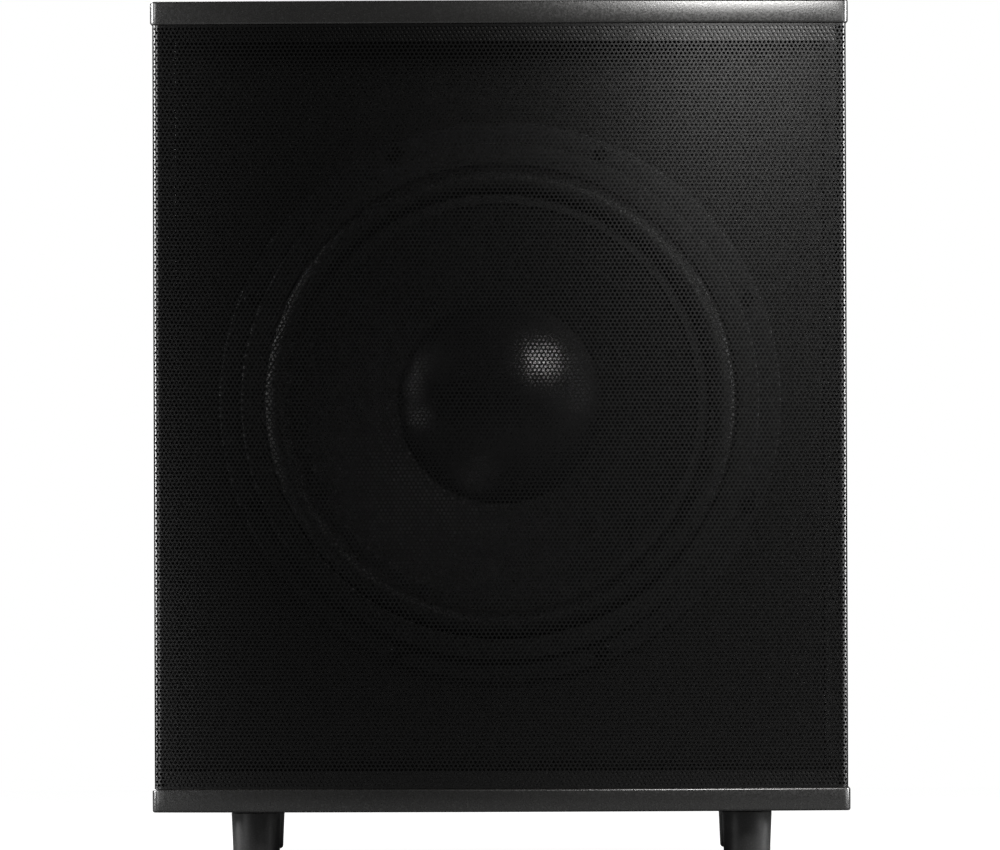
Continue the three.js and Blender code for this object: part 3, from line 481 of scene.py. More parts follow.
def coating(
    name,
    colour,
    rough,
    scale,
    depth,
    drift=0.18,
    lumps=0.6,
    dust=0.0,
    wear=0.0,
    metal=0.0,
    stretch=(1, 1, 1),
    rough_swing=0.08,
    fleck=None,
    coat=0.0,
    sheen=0.0,
    specular=0.5,
):
    """A finish whose colour drifts slowly, with flecks, dust and edge wear, and a grain that drives roughness
    and bump. It takes over the name of the frame's own plain material."""
    plain = bpy.data.materials.get(name)
    if plain:
        plain.name = name + "_plain"
    material = bpy.data.materials.new(name)
    material.use_nodes = True
    tree = material.node_tree
    shader = tree.nodes["Principled BSDF"]
    place = add(tree, "ShaderNodeTexCoord").outputs["Object"]
    fine_place = add(tree, "ShaderNodeMapping", {"Vector": place, "Scale": stretch}).outputs[0]
    grain = group(tree, "grain", {"Vector": fine_place, "Scale": scale, "Lumps": lumps})
    slow = group(tree, "drift", {"Vector": place, "Low": 1 - drift, "High": 1 + drift})["Factor"]
    body = add(tree, "ShaderNodeVectorMath", {0: colour, "Scale": slow}, operation="SCALE").outputs[0]
    pale = fleck or tuple(min(1.0, c * 1.9 + 0.004) for c in colour)
    now = tinted(tree, grain["Mask"], body, (*pale, 1))
    uneven = spread(tree, grain["Height"], 0.2, 0.8, rough + rough_swing, rough - rough_swing)
    if wear:
        worn = group(tree, "edge wear", {"Vector": place, "Amount": wear})["Mask"]
        rubbed = tuple(min(1.0, c * 4 + 0.03) for c in colour)
        now = tinted(tree, worn, now, (*rubbed, 1))
    if dust:
        film = group(tree, "dust", {"Vector": place, "Amount": dust})["Mask"]
        now = tinted(tree, film, now, DUST_COLOUR)
        uneven = maths(tree, "ADD", uneven, maths(tree, "MULTIPLY", film, 0.3), clamp=True)
    relief = {"Strength": 1.0, "Distance": depth * RELIEF, "Height": grain["Height"]}
    bump = add(tree, "ShaderNodeBump", relief)
    tree.links.new(now, shader.inputs["Base Color"])
    tree.links.new(uneven, shader.inputs["Roughness"])
    tree.links.new(bump.outputs[0], shader.inputs["Normal"])
    shader.inputs["Metallic"].default_value = metal
    shader.inputs["Coat Weight"].default_value = coat
    shader.inputs["Sheen Weight"].default_value = sheen
    shader.inputs["Specular IOR Level"].default_value = specular
    return material


def painted_panels(settings):
    """Textured black paint on board: raised specks, a dull film of dust above, faintly rubbed edges."""
    return coating(
        "panel_paint",
        tuple(settings.paint),
        rough=0.27,
        scale=620,
        depth=0.14 * MM,
        drift=0.2,
        lumps=0.75,
        dust=0.10,
        wear=0.25,
        rough_swing=0.05,
        fleck=(0.02, 0.02, 0.0195),
        specular=0.85,
    )


def coated_steel(settings):
    """Powder coating on the perforated sheet: fine orange peel and an even satin shine."""
    return coating(
        "grille_steel",
        tuple(settings.steel),
        rough=0.24,
        rough_swing=0.04,
        scale=1500,
        depth=0.04 * MM,
        drift=0.1,
        dust=0.03,
        fleck=(0.004, 0.004, 0.004),
    )


def winding_wire():
    """Enamelled copper in tight turns along the coil's axis."""
    material = coating("copper_wire", (0.42, 0.16, 0.07), 0.32, 900, 0.01 * MM, metal=0.9)
    tree = material.node_tree
    place = add(tree, "ShaderNodeTexCoord").outputs["Object"]
    along = add(tree, "ShaderNodeSeparateXYZ", {0: place}).outputs["Y"]
    turns = maths(tree, "SINE", maths(tree, "MULTIPLY", along, 2 * math.pi / (0.6 * MM)))
    bump = add(tree, "ShaderNodeBump", {"Strength": 1.0, "Distance": 0.15 * MM, "Height": turns})
    tree.links.new(bump.outputs[0], tree.nodes["Principled BSDF"].inputs["Normal"])
    return material


def treated_cloth():
    """Resin-stiffened cotton of the spider: a plain weave along X and Z over its corrugations, with painted shade in
    the weave's hollows and painted highlight on its crossings.
    """
    material = coating("spider_cloth", CLOTH_COLOUR, 0.85, 1200, 0.05 * MM, sheen=0.3)
    tree = material.node_tree
    place = add(tree, "ShaderNodeTexCoord").outputs["Object"]
    parts = add(tree, "ShaderNodeSeparateXYZ", {0: place})
    thread = 2 * math.pi / (0.9 * MM)
    warp = maths(tree, "SINE", maths(tree, "MULTIPLY", parts.outputs["X"], thread))
    weft = maths(tree, "SINE", maths(tree, "MULTIPLY", parts.outputs["Z"], thread))
    weave = maths(tree, "MULTIPLY", warp, weft)
    bump = add(tree, "ShaderNodeBump", {"Strength": 0.8, "Distance": 0.15 * MM, "Height": weave})
    tree.links.new(bump.outputs[0], tree.nodes["Principled BSDF"].inputs["Normal"])
    # Painted shade and highlight: the cloth colour is scaled from 0.7 in the weave's hollows to 1.1 on its raised
    # crossings.
    shade = spread(tree, weave, -1.0, 1.0, 0.7, 1.1)
    weave_shaded_colour = add(tree, "ShaderNodeVectorMath", {0: CLOTH_COLOUR, "Scale": shade}, operation="SCALE")
    tree.links.new(weave_shaded_colour.outputs[0], tree.nodes["Principled BSDF"].inputs["Base Color"])
    return material


def pressed_pulp():
    """Paper cone: dark fibres laid every way, with pale ones among them."""
    material = coating("cone_pulp", (0.014, 0.014, 0.015), 0.62, 420, 0.10 * MM, drift=0.3, sheen=0.15)
    tree = material.node_tree
    place = add(tree, "ShaderNodeTexCoord").outputs["Object"]
    bent = add(tree, "ShaderNodeTexNoise", {"Vector": place, "Scale": 160.0, "Detail": 2.0}).outputs["Color"]
    push = {0: bent, 1: (0.01, 0.01, 0.01), 2: place}
    pushed = add(tree, "ShaderNodeVectorMath", push, operation="MULTIPLY_ADD").outputs[0]
    cells = add(tree, "ShaderNodeTexVoronoi", {"Vector": pushed, "Scale": 330.0}, feature="DISTANCE_TO_EDGE")
    fibre = spread(tree, cells.outputs["Distance"], 0.0, 0.08, 1.0, 0.0)
    colour = tree.nodes["Principled BSDF"].inputs["Base Color"]
    pale = tinted(tree, maths(tree, "MULTIPLY", fibre, 0.5), colour.links[0].from_socket, (0.05, 0.05, 0.052, 1))
    tree.links.new(pale, colour)
    return material


def socket_plastic():
    """Black socket whose three blades, which stand clear of its floor, are nickel."""
    material = coating("inlet_plastic", (0.012, 0.012, 0.012), 0.38, 1400, 0.03 * MM)
    low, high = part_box("mains_inlet")
    middle, across = (low + high) / 2, (high.x - low.x) / 2
    reach_x, reach_z, depth = 8.3 * MM, 4.6 * MM, 16.8 * MM
    tree = material.node_tree
    place = add(tree, "ShaderNodeTexCoord").outputs["Object"]
    parts = add(tree, "ShaderNodeSeparateXYZ", {0: place})
    off_x = maths(tree, "ABSOLUTE", maths(tree, "SUBTRACT", parts.outputs["X"], middle.x))
    off_z = maths(tree, "ABSOLUTE", maths(tree, "SUBTRACT", parts.outputs["Z"], middle.z))
    inside_x = maths(tree, "LESS_THAN", off_x, reach_x)
    inside_z = maths(tree, "LESS_THAN", off_z, reach_z)
    clear_of_floor = maths(tree, "GREATER_THAN", parts.outputs["Y"], high.y - depth)
    blades = maths(tree, "MULTIPLY", maths(tree, "MULTIPLY", inside_x, inside_z), clear_of_floor)
    if across < reach_x:
        raise RuntimeError("the mains inlet is narrower than its blades")
    shader = tree.nodes["Principled BSDF"]
    base = shader.inputs["Base Color"].links[0].from_socket
    tree.links.new(tinted(tree, blades, base, (*NICKEL, 1)), shader.inputs["Base Color"])
    tree.links.new(blades, shader.inputs["Metallic"])
    return material


def make_finishes():
    """Every finish of the object, by the name of its slot in the record."""
    settings = bpy.context.scene.subwoofer_finish
    for build in (make_grain, make_drift, make_dust, make_wear):
        build()
    painted_panels(settings)
    coated_steel(settings)
    coating("foot_rubber", tuple(settings.rubber), 0.42, 900, 0.06 * MM, drift=0.25, wear=0.1)
    coating("raw_board", (0.27, 0.175, 0.095), 0.8, 500, 0.12 * MM, drift=0.2, stretch=(1, 1, 3), wear=0.1)
    coating("wadding", (0.27, 0.27, 0.255), 0.95, 380, 1.2 * MM, drift=0.25, lumps=0.8, sheen=0.4)
    coating(
        "cast_frame", (0.018, 0.018, 0.019), 0.42, 800, 0.12 * MM, drift=0.15, metal=0.2, dust=0.1, wear=0.3
    )
    coating("black_rubber", (0.013, 0.013, 0.0135), 0.5, 900, 0.05 * MM, drift=0.3, dust=0.1)
    pressed_pulp()
    coating(
        "cap_gloss", (0.013, 0.013, 0.014), 0.21, 1500, 0.015 * MM, drift=0.1, dust=0.05, rough_swing=0.04
    )
    coating("former_film", (0.19, 0.075, 0.02), 0.35, 700, 0.02 * MM)
    winding_wire()
    treated_cloth()
    coating("zinc_steel", (0.44, 0.45, 0.46), 0.3, 650, 0.03 * MM, metal=1.0, drift=0.12, wear=0.2)
    coating("ferrite", (0.034, 0.034, 0.036), 0.62, 1500, 0.05 * MM, drift=0.2, wear=0.3)
    coating("black_steel", (0.012, 0.012, 0.013), 0.34, 900, 0.02 * MM, metal=0.5, wear=0.3)
    coating(
        "black_aluminium", (0.02, 0.02, 0.021), 0.36, 900, 0.035 * MM, drift=0.12, metal=0.75,
        stretch=(0.05, 1, 1), dust=0.08, wear=0.35,
    )
    coating("black_plastic", (0.013, 0.013, 0.0135), 0.42, 1300, 0.04 * MM, drift=0.12, dust=0.08, wear=0.1)
    coating("circuit_board", (0.012, 0.07, 0.025), 0.42, 300, 0.05 * MM, drift=0.25, fleck=(0.03, 0.14, 0.05))
    coating("nickel_plate", NICKEL, 0.2, 900, 0.012 * MM, metal=1.0, drift=0.08)
    coating("rocker_plastic", (0.26, 0.012, 0.010), 0.3, 1300, 0.02 * MM, drift=0.1, coat=0.2)
    coating("led_lens", (0.07, 0.2, 0.62), 0.12, 600, 0.01 * MM, drift=0.1, coat=0.6)
    coating("mark_white", (0.62, 0.62, 0.6), 0.5, 1500, 0.01 * MM, drift=0.08)
    coating("jack_red", (0.5, 0.02, 0.015), 0.35, 1300, 0.01 * MM, drift=0.1)
    socket_plastic()


def finish_of(name):
    return bpy.data.materials[name]


# ---- Grille ----


def sheet_bend():
    """Middle of the right bend in plan, and the angle at which the bow runs into it."""
    corner_x = SHEET_HIGH.x - BEND_RADIUS
    inner = BOW_RADIUS - BEND_RADIUS
    return corner_x, BOW_CENTRE - math.sqrt(inner**2 - corner_x**2), math.asin(corner_x / inner)


def sheet_place(u, z, depth):
    """Where a point of the flat sheet lies once it is bent: u runs along its outer face from the middle, z up,
    depth inwards. Up to the bend, angle = u / bow radius; round the bend, angle grows by 1 / bend radius; then
    straight."""
    side, u = np.sign(u), np.abs(u)
    corner_x, corner_y, lean = sheet_bend()
    past_bow = u - BOW_RADIUS * lean
    angle = u / BOW_RADIUS
    bow_x = (BOW_RADIUS - depth) * np.sin(angle)
    bow_y = BOW_CENTRE - (BOW_RADIUS - depth) * np.cos(angle)
    turn = np.minimum(lean + past_bow / BEND_RADIUS, np.pi / 2)
    bend_x = corner_x + (BEND_RADIUS - depth) * np.sin(turn)
    bend_y = corner_y - (BEND_RADIUS - depth) * np.cos(turn)
    past_bend = np.maximum(past_bow - BEND_RADIUS * (np.pi / 2 - lean), 0)
    on_bow = past_bow <= 0
    x = np.where(on_bow, bow_x, bend_x)
    y = np.where(on_bow, bow_y, bend_y + past_bend)
    return np.stack([side * x, y, z], -1)


def sheet_half_length():
    """Half the length of the flat sheet, from the middle to the end of a flange."""
    corner_x, corner_y, lean = sheet_bend()
    return BOW_RADIUS * lean + BEND_RADIUS * (math.pi / 2 - lean) + SHEET_HIGH.y - corner_y


def hole_cells(u, z, pitch, hole):
    """Flat faces round each hole: a six-sided cell of the pattern less a six-sided hole of the same area as a
    round one. Returns corners as (faces, 4, 2)."""
    t = np.radians(np.arange(6) * 60 + 30)
    ring = np.stack([np.cos(t), np.sin(t)], 1)
    cell = ring * pitch / math.sqrt(3)
    same_area = math.sqrt(2 * math.pi / (3 * math.sqrt(3)))
    rim = ring * hole / 2 * same_area
    quads = np.stack([cell, np.roll(cell, -1, 0), np.roll(rim, -1, 0), rim], 1)
    return (quads[None] + np.stack([u, z], 1)[:, None, None]).reshape(-1, 4, 2)


def edge_fill(column_u, row_z, pitch, low, high, ends):
    """Flat faces between the zigzag border of the cells and the sheet's straight edges."""
    half, point, flat = pitch / 2, pitch / math.sqrt(3), pitch / math.sqrt(3) / 2
    faces = []
    for row, edge, way in ((0, low, -1), (len(row_z) - 1, high, 1)):
        u = column_u[row]
        left, right = u - half, u + half
        valley, peak = row_z[row] + way * flat, row_z[row] + way * point
        one = [(left, valley), (left, edge), (u, edge), (u, peak)]
        two = [(u, peak), (u, edge), (right, edge), (right, valley)]
        for quad in (one, two):
            corners = [np.stack(np.broadcast_arrays(a, b), -1) for a, b in quad]
            block = np.stack(corners, 1)
            faces.append(block if way < 0 else block[:, ::-1])
    for side, end in enumerate(ends):
        if end is None:
            continue
        edge_u = np.array([c[0] - half if side == 0 else c[-1] + half for c in column_u])
        u = np.repeat(edge_u, 2)
        z = (row_z[:, None] + np.array([-flat, flat])[None]).ravel()
        u, z = np.concatenate([u[:1], u, u[-1:]]), np.concatenate([[low], z, [high]])
        block = np.stack(
            [
                np.stack([np.full(len(u) - 1, end), z[:-1]], 1),
                np.stack([u[:-1], z[:-1]], 1),
                np.stack([u[1:], z[1:]], 1),
                np.stack([np.full(len(u) - 1, end), z[1:]], 1),
            ],
            1,
        )
        faces.append(block if side == 0 else block[:, ::-1])
    turned_right = []
    for block in faces:
        a, b, c, d = (block[:, k] for k in range(4))
        area = np.cross(c - a, d - b)
        block = np.where((area < 0)[:, None, None], block[:, ::-1], block)
        turned_right.append(block)
    return np.concatenate(turned_right)


def thick_pattern(flat, depth):
    """Gives flat faces a thickness: the same faces at the back, turned round, and a wall on every edge that
    only one face has. Returns points (u, z, depth), quads, and a flat map in which a wall leans into its hole
    and the back lies beside the front."""
    keys = np.round(flat.reshape(-1, 2) / 1e-6).astype(np.int64)
    _, first, where = np.unique(keys, axis=0, return_index=True, return_inverse=True)
    spots = flat.reshape(-1, 2)[first]
    quads = where.reshape(-1, 4)
    count = len(spots)
    a, b = quads.ravel(), np.roll(quads, -1, axis=1).ravel()
    lone = ~np.isin(b * count + a, a * count + b)
    a, b = a[lone], b[lone]
    walls = np.stack([b, a, a + count, b + count], 1)
    front, back = quads, quads[:, ::-1] + count
    points = np.concatenate([np.c_[spots, np.zeros(count)], np.c_[spots, np.full(count, depth)]])
    way = spots[b] - spots[a]
    out = np.stack([way[:, 1], -way[:, 0]], 1) / np.linalg.norm(way, axis=1)[:, None]
    middle = (spots[a] + spots[b]) / 2
    into_hole = out * 0.45 * MM
    lean_a = middle + 0.5 * (spots[a] - middle) + into_hole
    lean_b = middle + 0.5 * (spots[b] - middle) + into_hole
    wall_map = np.stack([spots[b], spots[a], lean_a, lean_b], 1)
    low, high = spots.min(0) - MM, spots.max(0) + MM
    half_map, margin = np.array([0.48, 0.98]), 0.01
    maps = np.concatenate([spots[front], spots[back - count], wall_map])
    maps = (maps - low) / (high - low) * half_map + margin
    maps[len(front) : len(front) + len(back), :, 0] += 0.5
    return points, np.concatenate([front, back, walls]), maps


def grille_strip(index, columns, last, settings, row_z):
    """One upright strip of the perforated sheet, between two zigzag seams that run round the holes."""
    pitch = settings.pitch
    even = np.arange(*columns) * pitch
    odd = (even[:-1] if last else even) + pitch / 2
    column_u = [odd if k % 2 else even for k in range(len(row_z))]
    u = np.concatenate(column_u)
    z = np.repeat(row_z, [len(c) for c in column_u])
    half = sheet_half_length()
    ends = (None if index else -half, half if last else None)
    holes = hole_cells(u, z, pitch, settings.hole)
    border = edge_fill(column_u, row_z, pitch, SHEET_LOW.z, SHEET_HIGH.z, ends)
    points, quads, maps = thick_pattern(np.concatenate([holes, border]), SHEET_THICKNESS)
    name = "grille_sheet_strip_%d" % (index + 1)
    mesh = mesh_from(name, sheet_place(*points.T), [quads], 30)
    layer = mesh.uv_layers.new(name="OFBake", do_init=False)
    layer.uv.foreach_set("vector", maps.astype(np.float32).ravel())
    made = placed(name, mesh)
    mesh.materials.append(finish_of("grille_steel"))
    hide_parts("grille_sheet")
    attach(made, CABINET)


class SUBWOOFER_OT_grille(bpy.types.Operator):
    """Perforated steel sheet, bowed and folded back along its upright edges"""

    bl_idname = "subwoofer.grille"
    bl_label = "Grille"

    def execute(self, context):
        settings = context.scene.subwoofer_grille
        pitch = settings.pitch
        reach = int(sheet_half_length() / pitch - 0.5)
        rise = pitch * math.sqrt(3) / 2
        height = SHEET_HIGH.z - SHEET_LOW.z
        count = int((height - 2 * pitch / math.sqrt(3)) / rise) + 1
        middle = (SHEET_LOW.z + SHEET_HIGH.z) / 2
        row_z = middle + (np.arange(count) - (count - 1) / 2) * rise
        seams = np.linspace(-reach, reach + 1, settings.strips + 1).round().astype(int)
        for index in range(settings.strips):
            last = index == settings.strips - 1
            grille_strip(index, seams[index : index + 2], last, settings, row_z)
        return {"FINISHED"}


# ---- Cabinet ----


class SUBWOOFER_OT_plates(bpy.types.Operator):
    """Top and bottom panels with a bowed front and rounded edges"""

    bl_idname = "subwoofer.plates"
    bl_label = "Top and bottom panels"

    def execute(self, context):
        settings = context.scene.subwoofer_cabinet
        for node in ("top_panel", "bottom_panel"):
            low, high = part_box(node)
            plan = bowed_outline(high.x, PLATE_BOW, high.y, settings.plate_corner)
            shell = slab(plan, low.z, high.z, settings.plate_edge, upright, 5)
            piece(node + "_board", [shell], "panel_paint", [node])
        return {"FINISHED"}


class SUBWOOFER_OT_sides(bpy.types.Operator):
    """Left and right side panels with eased edges"""

    bl_idname = "subwoofer.sides"
    bl_label = "Side panels"

    def execute(self, context):
        settings = context.scene.subwoofer_cabinet
        for node in ("left_side_panel", "right_side_panel"):
            low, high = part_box(node)
            plan = oblong((low.y, low.z), (high.y, high.z), 2 * settings.side_edge, 4)
            shell = slab(plan, low.x, high.x, settings.side_edge, from_side, 4)
            piece(node + "_board", [shell], "panel_paint", [node])
        return {"FINISHED"}


def wadding_shell(low, high, out):
    """A mat of fibre: a box whose thickness swells and sinks with waves = sin(71 y + 1.3) sin(63 z)
    + 0.6 sin(131 y + 97 z) + 0.4 sin(211 z - 167 y), and thins to a round edge. out is the side that swells."""
    rows, columns, border = 60, 72, 10 * MM
    s, t = np.meshgrid(np.linspace(0, 1, rows), np.linspace(0, 1, columns), indexing="ij")
    y = low.y + s * (high.y - low.y)
    z = low.z + t * (high.z - low.z)
    edge = np.minimum(np.minimum(s, 1 - s) * (high.y - low.y), np.minimum(t, 1 - t) * (high.z - low.z))
    lift = np.sqrt(1 - (1 - np.clip(edge / border, 0, 1)) ** 2)
    waves = np.sin(y * 71 + 1.3) * np.sin(z * 63)
    waves = waves + 0.6 * np.sin(y * 131 + z * 97) + 0.4 * np.sin(z * 211 - y * 167)
    thick = (high.x - low.x) * (0.5 + 0.5 * (0.86 + 0.07 * waves) * lift)
    flat = np.full_like(y, low.x if out > 0 else high.x)
    top = flat + out * thick
    front = np.stack([top, y, z], -1).reshape(-1, 3)
    back = np.stack([flat, y, z], -1).reshape(-1, 3)
    i, j = np.meshgrid(np.arange(rows - 1), np.arange(columns - 1), indexing="ij")
    here = i * columns + j
    grid = np.stack([here, here + columns, here + columns + 1, here + 1], -1).reshape(-1, 4)
    ring = np.concatenate(
        [
            np.arange(columns),
            np.arange(1, rows) * columns + columns - 1,
            (rows - 1) * columns + np.arange(columns - 1)[::-1],
            np.arange(1, rows - 1)[::-1] * columns,
        ]
    )
    after = np.roll(ring, -1)
    count = rows * columns
    sides = np.stack([ring, after, after + count, ring + count], 1)
    return np.concatenate([front, back]), [np.concatenate([grid, grid[:, ::-1] + count, sides])]


class SUBWOOFER_OT_wadding(bpy.types.Operator):
    """Two mats of damping fibre inside the side panels"""

    bl_idname = "subwoofer.wadding"
    bl_label = "Wadding"

    def execute(self, context):
        for node, out in (("wadding_left", 1), ("wadding_right", -1)):
            low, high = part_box(node)
            made = piece(node + "_mat", [wadding_shell(low, high, out)], "wadding", [node], 60)
        return {"FINISHED"}


class SUBWOOFER_OT_feet(bpy.types.Operator):
    """Four round rubber feet with a recess for the screw"""

    bl_idname = "subwoofer.feet"
    bl_label = "Feet"

    def execute(self, context):
        for node in ("foot_front_left", "foot_front_right", "foot_rear_left", "foot_rear_right"):
            low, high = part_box(node)
            centre = ((low.x + high.x) / 2, (low.y + high.y) / 2)
            top = (high.x - low.x) / 2
            bottom = top - 1.2 * MM
            hole, bore, mouth = 2.2 * MM, 6.5 * MM, 6.8 * MM
            shelf = low.z + 16 * MM
            corners = [(hole, shelf), (bore, shelf), (mouth, low.z), (bottom, low.z), (top, high.z), (hole, high.z)]
            outline = rounded(corners, np.array([0.1, 0.6, 0.8, 2.5, 0.8, 0.1]) * MM, 8)
            piece(node + "_rubber", [turned(outline, centre, 96, "Z")], "foot_rubber", [node])
        return {"FINISHED"}


# ---- Woofer ----


def on_woofer(outline, steps=128, shape=None):
    return turned(outline, WOOFER, steps, "Y", shape)


def radial_blend(made):
    """Bakes the object's placement into its mesh and reads its points; it makes no weights from them."""
    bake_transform(made)
    co = np.empty(len(made.data.vertices) * 3, np.float32)
    made.data.vertices.foreach_get("co", co)
    co = co.reshape(-1, 3)


class SUBWOOFER_OT_basket(bpy.types.Operator):
    """Cast frame of the woofer: rim, skirt, six legs and the hub"""

    bl_idname = "subwoofer.basket"
    bl_label = "Woofer frame"

    def execute(self, context):
        low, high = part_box("basket")
        outer = (high.x - low.x) / 2
        front, back = low.y, high.y
        rim_back = front + 7 * MM
        skirt = rim_back + 12 * MM
        inner = outer - 28 * MM
        body = outer - 19 * MM
        rim = rounded(
            [(outer, front), (outer, rim_back), (body, rim_back), (body, skirt), (inner, skirt), (inner, front)],
            np.array([1.2, 0.8, 1.0, 1.5, 1.2, 0.8]) * MM,
        )
        hub_front, floor_front = back - 14.5 * MM, back - 6 * MM
        land = hub_front - 1.5 * MM
        shelf, hub_outer, hub_inner, opening = 89 * MM, 94 * MM, 76 * MM, 45 * MM
        hub = rounded(
            [
                (shelf, land),
                (hub_outer, hub_front),
                (hub_outer, back),
                (opening, back),
                (opening, floor_front),
                (hub_inner, floor_front),
                (hub_inner, land),
            ],
            np.array([0.6, 1.5, 1.0, 0.6, 0.6, 1.5, 0.6]) * MM,
        )
        shells = [on_woofer(rim, 160), on_woofer(hub, 128)]
        for angle in np.radians(np.arange(6) * 60):
            ends = ((inner + body) / 2, 90.75 * MM), (skirt - 5 * MM, hub_front + 3 * MM)
            shells.append(self.leg(angle, *ends))
        piece("basket_casting", shells, "cast_frame", ["basket"], 35)
        gasket_low, gasket_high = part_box("woofer_gasket")
        gasket_outer, gasket_inner = gasket_high.x - WOOFER[0], inner - 2 * MM
        rail = rounded(
            [
                (gasket_outer, gasket_low.y),
                (gasket_outer, gasket_high.y),
                (gasket_inner, gasket_high.y),
                (gasket_inner, gasket_low.y),
            ],
            1.1 * MM,
            6,
        )
        piece("woofer_gasket_ring", [on_woofer(rail, 160)], "black_rubber", ["woofer_gasket"], 35)
        return {"FINISHED"}

    def leg(self, angle, radii, along):
        """One leg from the skirt to the hub. At a share s of the way it lies at share s + 0.06 sin(pi s) of its
        length, and its width in millimetres is 52 - 22 sin(pi s)^0.7 - 24 s."""
        s = np.linspace(0, 1, 24)
        arch = np.sin(np.pi * s)
        radius = radii[0] + (radii[1] - radii[0]) * s
        path = np.array([WOOFER[0], 0, WOOFER[1]]) + radius[:, None] * [math.cos(angle), 0, math.sin(angle)]
        path[:, 1] = along[0] + (along[1] - along[0]) * (s + 0.06 * arch)
        sides = np.array([-math.sin(angle), 0, math.cos(angle)])
        width = (52 - 22 * arch**0.7 - 24 * s) * MM
        return swept(path, sides, width, 7.5 * MM, 0.35)


class SUBWOOFER_OT_surround(bpy.types.Operator):
    """Half-round rubber surround that joins the cone to the frame"""

    bl_idname = "subwoofer.surround"
    bl_label = "Surround"

    def execute(self, context):
        low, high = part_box("surround")
        face, wall = high.y - 1 * MM, 1 * MM
        outer_end = high.x - WOOFER[0]
        roll, middle = 10 * MM, 154 * MM
        top = arc((middle, face), roll, 180, 360, 28)
        under = arc((middle, face), roll - wall, 360, 180, 28)
        inner_end = middle - roll - 7 * MM
        outline = np.concatenate(
            [
                [(inner_end, face)],
                top,
                [(outer_end, face), (outer_end, high.y), (middle + roll - wall, high.y)],
                under,
                [(middle - roll + wall, high.y), (inner_end, high.y)],
            ]
        )
        made = piece("surround_roll", [on_woofer(outline, 160)], "black_rubber", ["surround"], 50, None)
        radial_blend(made)
        return {"FINISHED"}


class SUBWOOFER_OT_diaphragm(bpy.types.Operator):
    """Ribbed paper cone and its domed dust cap"""

    bl_idname = "subwoofer.diaphragm"
    bl_label = "Cone and dust cap"

    def execute(self, context):
        settings = context.scene.subwoofer_woofer
        low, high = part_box("cone")
        wall = 1.2 * MM
        rim, neck, lip = high.x - WOOFER[0], COIL_RADIUS, 7 * MM
        s = np.linspace(0, 1, 120)
        radius = (rim - lip) + (neck - rim + lip) * s
        height = low.y + wall + (high.y - low.y - wall) * s
        window = np.clip(np.minimum(s, 1 - s) / 0.08, 0, 1)
        wave = settings.rib_height * window * np.maximum(0, np.cos(2 * np.pi * settings.ribs * s)) ** 6
        middle = height - wave * 0.9
        span = rim - lip - neck
        along = math.hypot(high.y - low.y, span) / span
        front = np.stack([radius, np.maximum(middle - wall * 0.35, low.y)], 1)
        behind = np.stack([radius, np.minimum(middle + wall * along * 0.8, high.y)], 1)
        outline = np.concatenate([[(rim, low.y)], front, behind[::-1], [(rim, low.y + wall)]])
        piece("cone_paper", [on_woofer(outline, 160)], "cone_pulp", ["cone"], 50, DIAPHRAGM)
        cap_low, cap_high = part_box("dust_cap")
        edge, rise, skin = cap_high.x - WOOFER[0], 20 * MM, 1 * MM
        curve = (edge**2 + rise**2) / (2 * rise)
        reach = math.asin(edge / curve)
        a = np.linspace(0, reach, 48)
        outside = np.stack([curve * np.sin(a), cap_low.y + curve * (1 - np.cos(a))], 1)
        inside = np.stack([(curve - skin) * np.sin(a), cap_low.y + skin + (curve - skin) * (1 - np.cos(a))], 1)
        inside = inside[inside[:, 1] <= cap_high.y]
        outline = np.concatenate([outside, inside[::-1]])
        piece("dust_cap_dome", [on_woofer(outline, 160)], "cap_gloss", ["dust_cap"], 40, DIAPHRAGM)
        return {"FINISHED"}


class SUBWOOFER_OT_spider(bpy.types.Operator):
    """Corrugated cloth that centres the voice coil"""

    bl_idname = "subwoofer.spider"
    bl_label = "Spider"

    def execute(self, context):
        settings = context.scene.subwoofer_woofer
        low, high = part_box("spider")
        inner, outer = COIL_RADIUS, high.x - WOOFER[0]
        wall = 0.8 * MM
        middle, swing = (low.y + high.y - wall) / 2, (high.y - low.y - wall) / 2
        s = np.linspace(0, 1, 24 * settings.spider_waves)
        window = np.clip(np.minimum(s, 1 - s) / 0.1, 0, 1)
        radius = inner + (outer - inner) * s
        lift = high.y - wall + (middle - high.y + wall) * window
        front = lift + swing * window * np.sin(2 * np.pi * settings.spider_waves * s)
        outline = np.concatenate([np.stack([radius, front], 1), np.stack([radius, front + wall], 1)[::-1]])
        made = piece("spider_cloth_ring", [on_woofer(outline, 128)], "spider_cloth", ["spider"], 60, None)
        radial_blend(made)
        return {"FINISHED"}


class SUBWOOFER_OT_bolts(bpy.types.Operator):
    """Eight socket-head bolts round the woofer's frame"""

    bl_idname = "subwoofer.bolts"
    bl_label = "Woofer bolts"

    def execute(self, context):
        for index in range(1, 9):
            node = "woofer_bolt_%d" % index
            low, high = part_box(node)
            centre = ((low.x + high.x) / 2, (low.z + high.z) / 2)
            head, shank, socket = (high.x - low.x) / 2, 2.5 * MM, 2.5 * MM
            face = low.y
            outline = [
                (0, face + 2.6 * MM),
                (socket, face + 2.4 * MM),
                (socket, face),
                (head, face),
                (head, face + 4.5 * MM),
                (shank, face + 4.5 * MM),
                (shank, high.y),
                (0, high.y),
            ]
            outline = rounded(outline, np.array([0, 0.05, 0.15, 0.9, 0.2, 0.2, 0.5, 0]) * MM, 4)
            shell = turned(outline, centre, 48, "Y", self.socket)
            piece(node + "_screw", [shell], "black_steel", [node], 35)
        return {"FINISHED"}

    @staticmethod
    def socket(t, row):
        """Six flat sides, cos 30 / cos(angle from the middle of a side), on the rows of the outline in the socket."""
        flat = np.cos(np.pi / 6) / np.cos((t + np.pi / 6) % (np.pi / 3) - np.pi / 6)
        return np.where((row > 4) & (row < 15), flat, 1.0)


# ---- Amplifier ----


